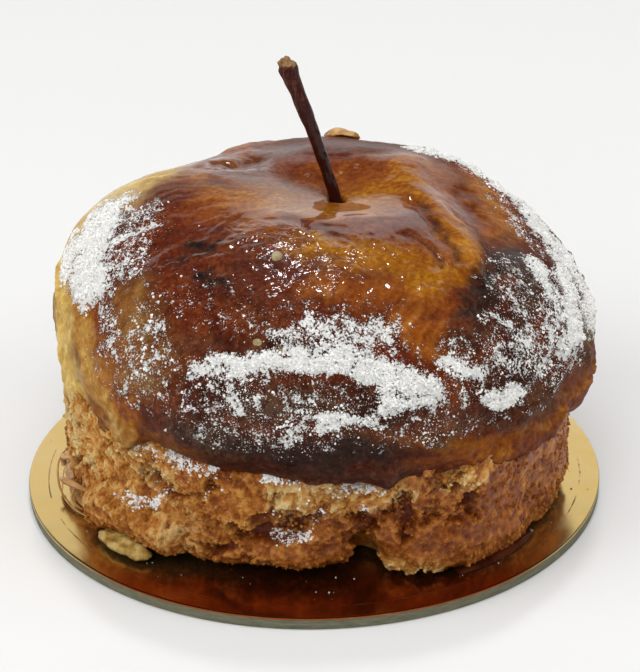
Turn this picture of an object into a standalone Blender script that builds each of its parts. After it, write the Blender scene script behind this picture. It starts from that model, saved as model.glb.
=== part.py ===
"""An individual tarte tatin: one caramelised apple with its stalk on a thick
crumbly crust, served on a round gilt cake card.

Frame: metres, +Z up, the origin at the centre of the card's underside.
The front is -Y. Azimuth is measured from the front, positive towards +X.
"""

import math

import bmesh
import bpy
from mathutils import Vector, noise

MM = 0.001

# Driving dimensions
CARD_DIAMETER = 90 * MM
CARD_THICKNESS = 2 * MM
TART_CENTRE = Vector((2 * MM, 2 * MM, 0))
APPLE_RADIUS = 41.4 * MM
APPLE_CROWN = 49.6 * MM
CRUST_RADIUS = 38.6 * MM
SEAM_HEIGHT = 19.4 * MM
STALK_TOP = 69 * MM
GAP = 0.3 * MM

# The card
CARD_SIDES = 88
CARD_BEVEL = 0.25 * MM

# The apple
APPLE_BELT = 27 * MM
APPLE_UNDERSIDE = SEAM_HEIGHT - 4.4 * MM
APPLE_TILT = 0.062
CROWN_SQUARENESS = 2.25
UNDERSIDE_SQUARENESS = 3.4
DIMPLE_DEPTH = 3 * MM
DIMPLE_RADIUS = 9 * MM
DIMPLE_CENTRE = Vector((1.5 * MM, 0.5 * MM))
APPLE_SEGMENTS = 60
APPLE_RINGS = 26

# The crust
CRUST_FOOT = CARD_THICKNESS + GAP
CRUST_FOOT_ROUNDING = 1.3 * MM
CRUST_TOP_ROUNDING = 2.4 * MM
CRUST_SEGMENTS = 92
CRUST_RINGS = 22
CRUMB_RELIEF = 0.9 * MM
CRUMB_SPACING = 6 * MM

# The stalk
STALK_FOOT = Vector((4.6 * MM, 2.6 * MM, 43.6 * MM))
STALK_LEAN = Vector((-8.4 * MM, 0.8 * MM, 0))
STALK_RADIUS = 0.85 * MM
STALK_BOW = 0.5 * MM
STALK_SIDES_RESOLUTION = 3

# Swellings: (azimuth in degrees, half width in degrees, size)
APPLE_GIRTH = (
    (-90, 26, 0.4 * MM),
    (-62, 14, -0.8 * MM),
    (-38, 18, 0.5 * MM),
    (0, 24, -0.4 * MM),
    (38, 20, 0.6 * MM),
    (100, 30, 0.6 * MM),
    (150, 26, -0.7 * MM),
    (-140, 28, 0.8 * MM),
)
APPLE_SHOULDER = (
    (-92, 34, 1.7 * MM),
    (-25, 20, 0.4 * MM),
    (92, 34, -1.5 * MM),
    (128, 24, 1.6 * MM),
    (165, 46, 1.4 * MM),
    (-138, 26, -1.4 * MM),
)
APPLE_UNDERCUT = (
    (92, 30, -1.6 * MM),
    (-92, 26, -4 * MM),
)
CRUST_GIRTH = (
    (-84, 24, 1.8 * MM),
    (-45, 12, -0.6 * MM),
    (-12, 18, -0.6 * MM),
    (7, 9, -2 * MM),
    (32, 14, 1.6 * MM),
    (86, 22, -1 * MM),
    (150, 30, 0.6 * MM),
    (-150, 34, 0.8 * MM),
)
CRUST_LIFT = (
    (-46, 12, 2.2 * MM),
    (-12, 18, 2.4 * MM),
    (8, 9, 2.4 * MM),
    (84, 18, 2.4 * MM),
    (160, 30, 1 * MM),
    (-135, 22, 0.8 * MM),
)
SEAM_RISE = (
    (-84, 10, 0.6 * MM),
    (-50, 16, -1.2 * MM),
    (10, 8, -0.8 * MM),
    (37, 14, 2 * MM),
    (90, 22, -4.6 * MM),
    (150, 24, 0.6 * MM),
    (-150, 26, -0.8 * MM),
)

# Hollows in the crust's wall: (azimuth, height, half width, half height, depth)
CREVICES = (
    (-6, 11.6 * MM, 5 * MM, 1.3 * MM, 1.9 * MM),
    (24, 12.5 * MM, 1.8 * MM, 3 * MM, 1.8 * MM),
    (40, 9 * MM, 2.2 * MM, 1.8 * MM, 1.5 * MM),
    (-50, 14.2 * MM, 3.4 * MM, 1.2 * MM, 1.4 * MM),
    (112, 11 * MM, 5 * MM, 1.4 * MM, 1.5 * MM),
    (-118, 12 * MM, 4 * MM, 1.5 * MM, 1.6 * MM),
    (165, 10 * MM, 3 * MM, 2.4 * MM, 1.6 * MM),
)

# The arch where the crust's foot has crumbled away
ARCH_AZIMUTH = 9
ARCH_HALF_WIDTH = 3.2 * MM
ARCH_DEPTH = 6.5 * MM
ARCH_TOP = 9.4 * MM

# A strip of pale flesh squeezed out under the crust, and a scrap on the back
SLIVER_AZIMUTH = -48
SLIVER_SIZE = Vector((11.5 * MM, 6.4 * MM, 3.3 * MM))
SLIVER_REACH = 40 * MM
SCRAP_AZIMUTH = 174
SCRAP_SIZE = Vector((7 * MM, 6 * MM, 4.6 * MM))
SCRAP_REACH = 30.5 * MM
SCRAP_HEIGHT = 43.6 * MM


def clear_scene():
    for obj in list(bpy.data.objects):
        bpy.data.objects.remove(obj, do_unlink=True)


def new_collection(name):
    collection = bpy.data.collections.new(name)
    bpy.context.scene.collection.children.link(collection)
    return collection


def new_material(name, colour, roughness, metallic=0.0):
    material = bpy.data.materials.new(name)
    material.use_nodes = True
    shader = material.node_tree.nodes["Principled BSDF"]
    shader.inputs["Base Color"].default_value = (*colour, 1)
    shader.inputs["Roughness"].default_value = roughness
    shader.inputs["Metallic"].default_value = metallic
    return material


def add_object(name, data, collection, material=None):
    obj = bpy.data.objects.new(name, data)
    collection.objects.link(obj)
    if material:
        obj.data.materials.append(material)
    return obj


def finish_mesh(bm, name, crease_angle):
    bmesh.ops.recalc_face_normals(bm, faces=bm.faces)
    mesh = bpy.data.meshes.new(name)
    bm.to_mesh(mesh)
    bm.free()
    mesh.shade_smooth()
    mesh.set_sharp_from_angle(angle=math.radians(crease_angle))
    return mesh


def swelling(azimuth, swellings):
    """The sum of the smooth bumps round the tart, at an azimuth in degrees."""
    total = 0
    for centre, half_width, size in swellings:
        off = (azimuth - centre + 180) % 360 - 180
        total += size * math.exp(-((off / half_width) ** 2))
    return total


def round_the_tart(azimuth, radius, height):
    angle = math.radians(azimuth)
    return TART_CENTRE + Vector((radius * math.sin(angle), -radius * math.cos(angle), height))


def superellipse(latitude, squareness):
    """The (across, up) of a unit superellipse in the direction of a latitude."""
    across = math.cos(latitude)
    up = math.sin(latitude)
    reach = (abs(across) ** squareness + abs(up) ** squareness) ** (-1 / squareness)
    return across * reach, up * reach


def shaped_sphere(segments, rings, shape):
    """A UV sphere whose points are moved by shape(azimuth, latitude)."""
    bm = bmesh.new()
    bmesh.ops.create_uvsphere(bm, u_segments=segments, v_segments=rings, radius=1)
    for vert in bm.verts:
        azimuth = math.degrees(math.atan2(vert.co.x, -vert.co.y))
        latitude = math.asin(max(-1, min(1, vert.co.z)))
        vert.co = shape(azimuth, latitude)
    return bm


def apple_point(azimuth, latitude):
    """The baked apple: a squat dome with a dimple, flat where it sits in the crust."""
    girth = APPLE_RADIUS + swelling(azimuth, APPLE_GIRTH)
    if latitude < 0:
        across, up = superellipse(latitude, UNDERSIDE_SQUARENESS)
        depth = APPLE_BELT - APPLE_UNDERSIDE - swelling(azimuth, APPLE_UNDERCUT)
        point = round_the_tart(azimuth, girth * across, APPLE_BELT + depth * up)
    else:
        across, up = superellipse(latitude, CROWN_SQUARENESS)
        height = APPLE_BELT + (APPLE_CROWN - APPLE_BELT) * up
        height += swelling(azimuth, APPLE_SHOULDER) * 4 * (across * up) ** 2
        point = round_the_tart(azimuth, girth * across, height)
        from_dimple = (point.xy - TART_CENTRE.xy - DIMPLE_CENTRE).length
        point.z -= DIMPLE_DEPTH * math.exp(-((from_dimple / DIMPLE_RADIUS) ** 2))
    point.z -= APPLE_TILT * (point.x - TART_CENTRE.x)
    return point


def crumb_noise(point):
    """Uneven lumps of baked dough, from -1 to 1 or so."""
    broad = noise.noise(point / CRUMB_SPACING)
    fine = noise.noise(point / CRUMB_SPACING * 2.3 + Vector((7, 3, 5)))
    return broad + 0.6 * fine


def crevice_depth(azimuth, height):
    depth = 0
    for centre, level, half_width, half_height, deepest in CREVICES:
        off = math.radians((azimuth - centre + 180) % 360 - 180) * CRUST_RADIUS
        reach = (off / half_width) ** 2 + ((height - level) / half_height) ** 2
        depth += deepest * math.exp(-reach)
    return depth


def drum_outline(share, radius, foot, top):
    """The (radius, height) a share of the way along a drum's outline, foot to top."""
    foot_turn = CRUST_FOOT_ROUNDING
    top_turn = CRUST_TOP_ROUNDING
    if share < 0.2:
        return (radius - foot_turn) * share / 0.2, foot
    if share < 0.3:
        turn = math.radians(900 * (share - 0.2))
        return radius - foot_turn * (1 - math.sin(turn)), foot + foot_turn * (1 - math.cos(turn))
    if share < 0.7:
        up = (share - 0.3) / 0.4
        return radius, foot + foot_turn + (top - top_turn - foot - foot_turn) * up
    if share < 0.82:
        turn = math.radians(750 * (share - 0.7))
        return radius - top_turn * (1 - math.cos(turn)), top - top_turn * (1 - math.sin(turn))
    return (radius - top_turn) * (1 - share) / 0.18, top


def crust_point(azimuth, latitude):
    """The crust: a thick crumbly drum, its foot lifted here and there."""
    share = 0.5 + latitude / math.pi
    girth = CRUST_RADIUS + swelling(azimuth, CRUST_GIRTH)
    top = SEAM_HEIGHT + swelling(azimuth, SEAM_RISE)
    radius, height = drum_outline(share, girth, CRUST_FOOT, top)
    rim = (radius / girth) ** 6
    above_foot = (height - CRUST_FOOT) / (top - CRUST_FOOT)
    height += swelling(azimuth, CRUST_LIFT) * rim * (1 - above_foot) ** 2
    point = round_the_tart(azimuth, radius, height)
    outward = (point - round_the_tart(azimuth, 0, height)).normalized()
    relief = CRUMB_RELIEF * crumb_noise(point) - crevice_depth(azimuth, height)
    return point + outward * relief * rim


def offset_copy(source, name, distance, cutters):
    """A cutter: source, swollen by distance on every side."""
    cutter = add_object(name, source.data.copy(), cutters)
    cutter.matrix_world = source.matrix_world
    swell = cutter.modifiers.new("Swell", "DISPLACE")
    swell.strength = distance
    swell.mid_level = 0
    cutter.hide_render = True
    cutter.display_type = "WIRE"
    return cutter


def cut(obj, cutter):
    boolean = obj.modifiers.new("Cut " + cutter.name, "BOOLEAN")
    boolean.operation = "DIFFERENCE"
    boolean.solver = "EXACT"
    boolean.object = cutter


def make_card(collection):
    bm = bmesh.new()
    bmesh.ops.create_cone(
        bm,
        cap_ends=True,
        segments=CARD_SIDES,
        radius1=CARD_DIAMETER / 2,
        radius2=CARD_DIAMETER / 2,
        depth=CARD_THICKNESS,
    )
    gilt = new_material("Gilt card", (0.62, 0.47, 0.2), 0.15, 1)
    card = add_object("card", finish_mesh(bm, "card", 40), collection, gilt)
    card.location.z = CARD_THICKNESS / 2
    edge = card.modifiers.new("Pressed edge", "BEVEL")
    edge.width = CARD_BEVEL
    edge.segments = 2
    edge.limit_method = "ANGLE"
    return card


def make_apple(collection):
    bm = shaped_sphere(APPLE_SEGMENTS, APPLE_RINGS, apple_point)
    caramel = new_material("Caramelised apple", (0.16, 0.05, 0.015), 0.25)
    return add_object("apple", finish_mesh(bm, "apple", 60), collection, caramel)


def make_crust(collection):
    bm = shaped_sphere(CRUST_SEGMENTS, CRUST_RINGS, crust_point)
    dough = new_material("Baked crust", (0.33, 0.14, 0.04), 0.75)
    return add_object("crust", finish_mesh(bm, "crust", 60), collection, dough)


def make_arch_cutter(cutters):
    """A low vault through the crust's foot, open to the front and below."""
    bm = bmesh.new()
    bmesh.ops.create_uvsphere(bm, u_segments=20, v_segments=12, radius=1)
    arch = add_object("arch", finish_mesh(bm, "arch", 180), cutters)
    radius = CRUST_RADIUS + swelling(ARCH_AZIMUTH, CRUST_GIRTH)
    arch.location = round_the_tart(ARCH_AZIMUTH, radius, CRUST_FOOT)
    arch.rotation_euler.z = math.radians(ARCH_AZIMUTH)
    arch.scale = (ARCH_HALF_WIDTH, ARCH_DEPTH, ARCH_TOP - CRUST_FOOT)
    arch.hide_render = True
    arch.display_type = "WIRE"
    return arch


def stalk_radii():
    """(share of the stalk's length, radius) from the foot to the swollen broken top."""
    return (
        (0, 1 * STALK_RADIUS),
        (0.15, 1 * STALK_RADIUS),
        (0.35, 0.9 * STALK_RADIUS),
        (0.52, 1.05 * STALK_RADIUS),
        (0.68, 1.18 * STALK_RADIUS),
        (0.82, 1.34 * STALK_RADIUS),
        (0.89, 1.6 * STALK_RADIUS),
        (0.94, 1.95 * STALK_RADIUS),
        (0.955, 1.35 * STALK_RADIUS),
        (1, 0.95 * STALK_RADIUS),
    )


def stalk_mesh(name, swell):
    """A tapered tube along the stalk, swell thicker all round and longer at its foot."""
    curve = bpy.data.curves.new(name, "CURVE")
    curve.dimensions = "3D"
    curve.bevel_depth = 1
    curve.bevel_resolution = STALK_SIDES_RESOLUTION
    curve.use_fill_caps = True
    top = Vector((STALK_FOOT.x, STALK_FOOT.y, STALK_TOP)) + STALK_LEAN
    along = top - STALK_FOOT
    spline = curve.splines.new("POLY")
    spline.points.add(len(stalk_radii()) - 1)
    for point, (share, radius) in zip(spline.points, stalk_radii()):
        bow = math.sin(math.pi * share) * STALK_BOW
        place = STALK_FOOT + along * share + Vector((bow, 0, 0))
        if share == 0:
            place -= along.normalized() * swell
        point.co = (*place, 1)
        point.radius = radius + swell
    guide = bpy.data.objects.new(name, curve)
    bpy.context.scene.collection.objects.link(guide)
    bpy.context.view_layer.update()
    evaluated = guide.evaluated_get(bpy.context.evaluated_depsgraph_get())
    mesh = bpy.data.meshes.new_from_object(evaluated)
    bpy.data.objects.remove(guide, do_unlink=True)
    bpy.data.curves.remove(curve)
    bm = bmesh.new()
    bm.from_mesh(mesh)
    bpy.data.meshes.remove(mesh)
    bmesh.ops.remove_doubles(bm, verts=bm.verts, dist=0.01 * MM)
    return finish_mesh(bm, name, 40)


def make_stalk(collection, cutters):
    bark = new_material("Stalk bark", (0.035, 0.012, 0.009), 0.55)
    stalk = add_object("stalk", stalk_mesh("stalk", 0), collection, bark)
    socket = add_object("stalk_socket", stalk_mesh("stalk_socket", GAP), cutters)
    socket.hide_render = True
    socket.display_type = "WIRE"
    return stalk, socket


def lump(name, size, azimuth, reach, height, tilt, collection, material):
    """A soft oval piece of cooked apple, its long side laid round the tart."""
    bm = bmesh.new()
    bmesh.ops.create_uvsphere(bm, u_segments=24, v_segments=14, radius=0.5)
    for vert in bm.verts:
        wave = 1 + 0.16 * noise.noise(vert.co * 3.1 + Vector((azimuth, 0, 0)))
        vert.co = Vector((c * s for c, s in zip(vert.co * wave, size)))
    obj = add_object(name, finish_mesh(bm, name, 70), collection, material)
    obj.location = round_the_tart(azimuth, reach, height)
    obj.rotation_euler = (math.radians(tilt), 0, math.radians(azimuth))
    bpy.context.view_layer.update()
    return obj


def flatten_foot(obj, level):
    """Presses the lowest points of an unturned-about-X lump onto a level."""
    for vert in obj.data.vertices:
        world = obj.matrix_world @ vert.co
        if world.z < level:
            world.z = level + (world.z - level) * 0.05
            vert.co = obj.matrix_world.inverted() @ world


def main():
    clear_scene()
    tart = new_collection("Tarte tatin")
    cutters = new_collection("Cutters")
    make_card(tart)
    apple = make_apple(tart)
    crust = make_crust(tart)
    _, socket = make_stalk(tart, cutters)
    flesh = new_material("Apple flesh", (0.42, 0.27, 0.08), 0.35)
    foot = CRUST_FOOT + SLIVER_SIZE.z * 0.02
    sliver = lump(
        "apple_sliver", SLIVER_SIZE, SLIVER_AZIMUTH, SLIVER_REACH,
        foot + SLIVER_SIZE.z * 0.42, 0, tart, flesh,
    )
    flatten_foot(sliver, foot)
    scrap = lump(
        "apple_scrap", SCRAP_SIZE, SCRAP_AZIMUTH, SCRAP_REACH, SCRAP_HEIGHT, -30, tart, flesh
    )
    apple_room = offset_copy(apple, "apple_room", GAP, cutters)
    sliver_room = offset_copy(sliver, "sliver_room", GAP, cutters)
    cut(crust, apple_room)
    cut(crust, make_arch_cutter(cutters))
    cut(crust, sliver_room)
    cut(scrap, apple_room)
    cut(apple, socket)


main()
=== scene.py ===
import math
import random

import bmesh
import bpy
import numpy as np
from mathutils import Matrix, Vector


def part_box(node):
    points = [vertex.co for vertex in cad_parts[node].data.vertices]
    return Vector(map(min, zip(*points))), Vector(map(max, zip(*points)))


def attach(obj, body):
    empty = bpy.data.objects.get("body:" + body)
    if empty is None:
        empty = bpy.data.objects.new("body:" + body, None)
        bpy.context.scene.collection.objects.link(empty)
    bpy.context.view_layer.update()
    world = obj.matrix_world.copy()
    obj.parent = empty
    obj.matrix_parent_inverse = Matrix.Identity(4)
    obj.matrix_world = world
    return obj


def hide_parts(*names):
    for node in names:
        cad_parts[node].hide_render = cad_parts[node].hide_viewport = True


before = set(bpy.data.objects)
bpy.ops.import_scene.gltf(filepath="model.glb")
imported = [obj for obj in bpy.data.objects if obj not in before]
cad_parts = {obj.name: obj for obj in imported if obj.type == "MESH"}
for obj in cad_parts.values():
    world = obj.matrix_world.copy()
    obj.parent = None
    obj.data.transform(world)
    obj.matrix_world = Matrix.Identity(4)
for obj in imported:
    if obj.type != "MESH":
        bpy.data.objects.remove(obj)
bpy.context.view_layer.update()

# An individual tarte tatin: a caramelised apple on a crumbly crust, on a gilt card.
# Everything is in metres, as the frame is. Sizes in the dictionaries are in millimetres.
mm = 0.001
scene = bpy.context.scene
print("frame loaded:", sorted(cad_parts))


# small helpers

def linear(text):
    # sRGB hex to the linear values that shaders use
    values = [int(text[i:i + 2], 16) / 255 for i in (1, 3, 5)]
    return (*[v / 12.92 if v <= 0.04045 else ((v + 0.055) / 1.055) ** 2.4 for v in values], 1)


def feed(tree, node, inputs):
    # what goes into a node's sockets: a value, a socket, or a node for its first output
    for key, value in inputs.items():
        if isinstance(value, bpy.types.Node):
            value = value.outputs[0]
        if isinstance(value, bpy.types.NodeSocket):
            tree.links.new(value, node.inputs[key])
        else:
            node.inputs[key].default_value = value


def addNode(tree, kind, inputs=None, stops=(), **settings):
    # adds one node with its settings and links. A shader node's kind goes without its
    # prefix, and stops are a colour ramp's: (position, hex colour)
    node = tree.nodes.new(kind if "Node" in kind else "ShaderNode" + kind)
    for key, value in settings.items():
        setattr(node, key, value)
    if stops:
        colours = node.color_ramp.elements
        while len(colours) < len(stops):
            colours.new(0.5)
        for element, (position, colour) in zip(colours, stops):
            element.position = position
            element.color = linear(colour)
    feed(tree, node, inputs or {})
    return node


def hashed(cells, seed):
    # three even random numbers from 0 to 1 for each whole-number cell
    mask = np.uint64(0xFFFFFFFF)
    x, y, z = [cells[:, i].astype(np.uint64) for i in range(3)]
    h = (x * np.uint64(73856093)) ^ (y * np.uint64(19349663)) ^ (z * np.uint64(83492791))
    h = (h ^ np.uint64(seed * 2654435761 % 4294967296)) & mask
    out = []
    for _ in range(3):
        h = ((h ^ (h >> np.uint64(15))) * np.uint64(2246822519)) & mask
        h = ((h ^ (h >> np.uint64(13))) * np.uint64(3266489917)) & mask
        h = h ^ (h >> np.uint64(16))
        out.append(h.astype(float) / 4294967296)
    return np.stack(out, 1)


def noiseAt(points, size, seed=0):
    # smooth noise from about -1 to 1, its lumps about as wide as size
    p = points / size + 1000
    base = np.floor(p)
    f = p - base
    u = f * f * f * (f * (f * 6 - 15) + 10)
    total = np.zeros(len(points))
    for dx in (0, 1):
        for dy in (0, 1):
            for dz in (0, 1):
                corner = np.array((dx, dy, dz))
                slope = hashed(base + corner, seed) * 2 - 1
                weight = np.prod(np.where(corner == 1, u, 1 - u), axis=1)
                total += weight * (slope * (f - corner)).sum(1)
    return total * 1.6


def fractal(points, size, seed=0, octaves=4):
    total = np.zeros(len(points))
    for i in range(octaves):
        total += noiseAt(points, size / 2 ** i, seed + i) / 2 ** i
    return total


def blocksAt(points, size, seed=0, sharpness=28):
    # broken blocks: every scattered seed has its own height and slope, blended where blocks
    # meet. Gives the height from about -0.5 to 0.5, and how near a joint is from 0 to 1
    p = points / size + 1000
    base = np.floor(p)
    total, height, most = np.zeros(len(p)), np.zeros(len(p)), np.zeros(len(p))
    for dx in (-1, 0, 1):
        for dy in (-1, 0, 1):
            for dz in (-1, 0, 1):
                cell = base + np.array((dx, dy, dz))
                spot = hashed(cell, seed)
                away = p - cell - spot
                weight = np.exp(-sharpness * (away ** 2).sum(1))
                lean = (spot * 9.7) % 1 - 0.5
                height += weight * (spot[:, 0] - 0.5 + (away * lean).sum(1) * 1.2)
                total += weight
                most = np.maximum(most, weight)
    return height / total, 2 - 2 * most / total


def eased(low, high, values):
    t = np.clip((values - low) / (high - low), 0, 1)
    return t * t * (3 - 2 * t)


def readMesh(piece):
    # points in mm, and normals
    count = len(piece.data.vertices)
    points = np.empty(count * 3)
    piece.data.vertices.foreach_get("co", points)
    normals = np.empty(count * 3, np.float32)
    piece.data.vertex_normals.foreach_get("vector", normals)
    return points.reshape(-1, 3) / mm, normals.reshape(-1, 3).astype(float)


def writePoints(piece, points):
    piece.data.vertices.foreach_set("co", (points * mm).ravel())
    piece.data.update()


def paint(piece, name, values):
    # a number at each point, which the material or a scatter reads by name
    layer = piece.data.attributes.new(name, "FLOAT", "POINT")
    layer.data.foreach_set("value", np.asarray(values, np.float32))


def addPiece(name, mesh, material):
    piece = bpy.data.objects.new(name, mesh)
    scene.collection.objects.link(piece)
    mesh.materials.clear()
    mesh.materials.append(material)
    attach(piece, "root")
    return piece


def bakedMesh(piece):
    # the piece's modifiers made real, as a plain mesh
    bpy.context.view_layer.update()
    evaluated = piece.evaluated_get(bpy.context.evaluated_depsgraph_get())
    return bpy.data.meshes.new_from_object(evaluated)


def fineCopy(node, voxel, rounds, finer=None):
    # the CAD solid as an even fine mesh with its facets smoothed away; finer picks
    # the faces, by their middles in mm, that are split once more
    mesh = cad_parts[node].data.copy()
    mesh.materials.clear()
    bm = bmesh.new()
    bm.from_mesh(mesh)
    bmesh.ops.remove_doubles(bm, verts=bm.verts, dist=1e-6)
    bm.to_mesh(mesh)
    bm.free()
    source = bpy.data.objects.new(node + "Source", mesh)
    scene.collection.objects.link(source)
    rounding = source.modifiers.new("Rounding", "SUBSURF")
    rounding.levels = rounding.render_levels = 2
    even = source.modifiers.new("Even", "REMESH")
    even.mode = "VOXEL"
    even.voxel_size = voxel * mm
    smooth = source.modifiers.new("Smooth", "SMOOTH")
    smooth.iterations = rounds
    fine = bakedMesh(source)
    bpy.data.objects.remove(source)
    if finer:
        bm = bmesh.new()
        bm.from_mesh(fine)
        edges = {edge for face in bm.faces if finer(face.calc_center_median() / mm) for edge in face.edges}
        bmesh.ops.subdivide_edges(bm, edges=list(edges), cuts=1, use_grid_fill=True)
        bm.to_mesh(fine)
        bm.free()
    fine.shade_smooth()
    print(node, "made fine:", len(fine.vertices), "points")
    return fine


# places on the tart
# A place on the apple is a bearing (degrees from the front, positive to the right) and a
# tilt (degrees from straight up, seen from the middle of the apple's box).

def boxOf(node):
    low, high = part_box(node)
    low, high = np.array(low) / mm, np.array(high) / mm
    return (low + high) / 2, (high - low) / 2


appleMiddle, appleHalf = boxOf("apple")
crustMiddle, crustHalf = boxOf("crust")
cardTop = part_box("card")[1].z / mm


def facing(bearing, tilt):
    b, t = math.radians(bearing), math.radians(tilt)
    return np.array((math.sin(b) * math.sin(t), -math.cos(b) * math.sin(t), math.cos(t)))


def directionsFrom(points):
    d = (points - appleMiddle) / appleHalf
    return d / np.linalg.norm(d, axis=1, keepdims=True)


def awayFrom(spots, path):
    # shortest distance from each spot to a path of straight legs
    path = [np.asarray(p, float) for p in path]
    nearest = np.linalg.norm(spots - path[0], axis=1)
    for start, end in zip(path, path[1:]):
        leg = end - start
        share = np.clip(((spots - start) @ leg) / (leg @ leg), 0, 1)
        nearest = np.minimum(nearest, np.linalg.norm(spots - start - share[:, None] * leg, axis=1))
    return nearest


def patch(spots, path, reach, softness=0.6):
    # 1 along a path of (bearing, tilt), falling to 0 at reach degrees from it
    away = np.degrees(awayFrom(spots, [facing(*p) for p in path])) / reach
    return eased(0, 1, (1 - away) / softness)


def patches(spots, rows, softness=0.6):
    total = np.zeros(len(spots))
    for path, reach, strength in rows:
        total = np.maximum(total, patch(spots, path, reach, softness) * strength)
    return total


def fibres(spots, spacing, twist, seed, octaves=3, stretch=0.12):
    # noise drawn out into strands that run down from the dimple, turning twist degrees per degree
    tilt = np.degrees(np.arccos(np.clip(spots[:, 2], -1, 1)))
    bearing = np.arctan2(spots[:, 0], -spots[:, 1]) + np.radians(twist) * tilt
    ring = np.stack((np.sin(bearing) * 40, np.cos(bearing) * 40, tilt * 0.7 * stretch), 1)
    return fractal(ring, spacing, seed, octaves)


def onCrust(points):
    # unrolled: mm round the crust from the front, and mm above the card
    angle = np.arctan2(points[:, 0] - crustMiddle[0], -(points[:, 1] - crustMiddle[1]))
    around = angle * crustHalf[0]
    return np.stack((around, points[:, 2]), 1)


def crustPatches(unrolled, rows):
    total = np.zeros(len(unrolled))
    perDegree = math.radians(crustHalf[0])
    for path, reach, strength in rows:
        line = [(bearing * perDegree, height) for bearing, height in path]
        away = awayFrom(unrolled, line) / reach
        total = np.maximum(total, eased(0, 1, (1 - away) / 0.6) * strength)
    return total


# materials

# a pattern's scale for lumps one millimetre wide
perMm = 1 / mm
# a Map Range eases input 0 from the range in 1 and 2 to the range in 3 and 4, all from 0 to 1
# where they aren't given
smooth = {"interpolation_type": "SMOOTHSTEP"}


def newMaterial(name):
    material = bpy.data.materials.new(name)
    material.use_nodes = True
    tree = material.node_tree
    place = addNode(tree, "TexCoord").outputs["Object"]
    return material, tree, tree.nodes["Principled BSDF"], place


def blend(tree, *parts):
    # patterns added up, each times its share, which is a number or another pattern
    total = 0.0
    for value, share in parts:
        total = addNode(tree, "Math", {0: value, 1: share, 2: total}, operation="MULTIPLY_ADD")
    return total


def layered(tree, colour, layers):
    # colours laid one over another, each as far as its mask says
    for mask, over in layers:
        colour = addNode(tree, "Mix", {0: mask, 6: colour, 7: over}, data_type="RGBA").outputs[2]
    return colour


def powderOn(tree, place, density):
    # powder lies in clumps and single specks: the density of the fall against noise
    clumps, grains, single = [addNode(tree, "TexNoise", {
        "Vector": place, "Scale": perMm / size, "Detail": detail, "Roughness": roughness,
    }) for size, detail, roughness in ((1.7, 3, 0.6), (0.36, 3, 0.7), (0.28, 2, 0.7))]
    lying = blend(tree, (clumps, 0.5), (grains, 0.5))
    bare = addNode(tree, "MapRange", {0: lying, 1: 0.36, 2: 0.62}, **smooth)
    over = addNode(tree, "Math", {0: density, 1: bare}, operation="SUBTRACT")
    covered = addNode(tree, "MapRange", {0: over, 1: -0.02, 2: 0.12}, **smooth)
    specks = addNode(tree, "MapRange", {0: single, 1: 0.66, 2: 0.7}, **smooth)
    likely = addNode(tree, "MapRange", {0: density, 1: 0.05, 2: 0.35}, **smooth)
    return addNode(tree, "Math", {0: covered, 1: blend(tree, (specks, likely))}, operation="MAXIMUM")


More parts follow.
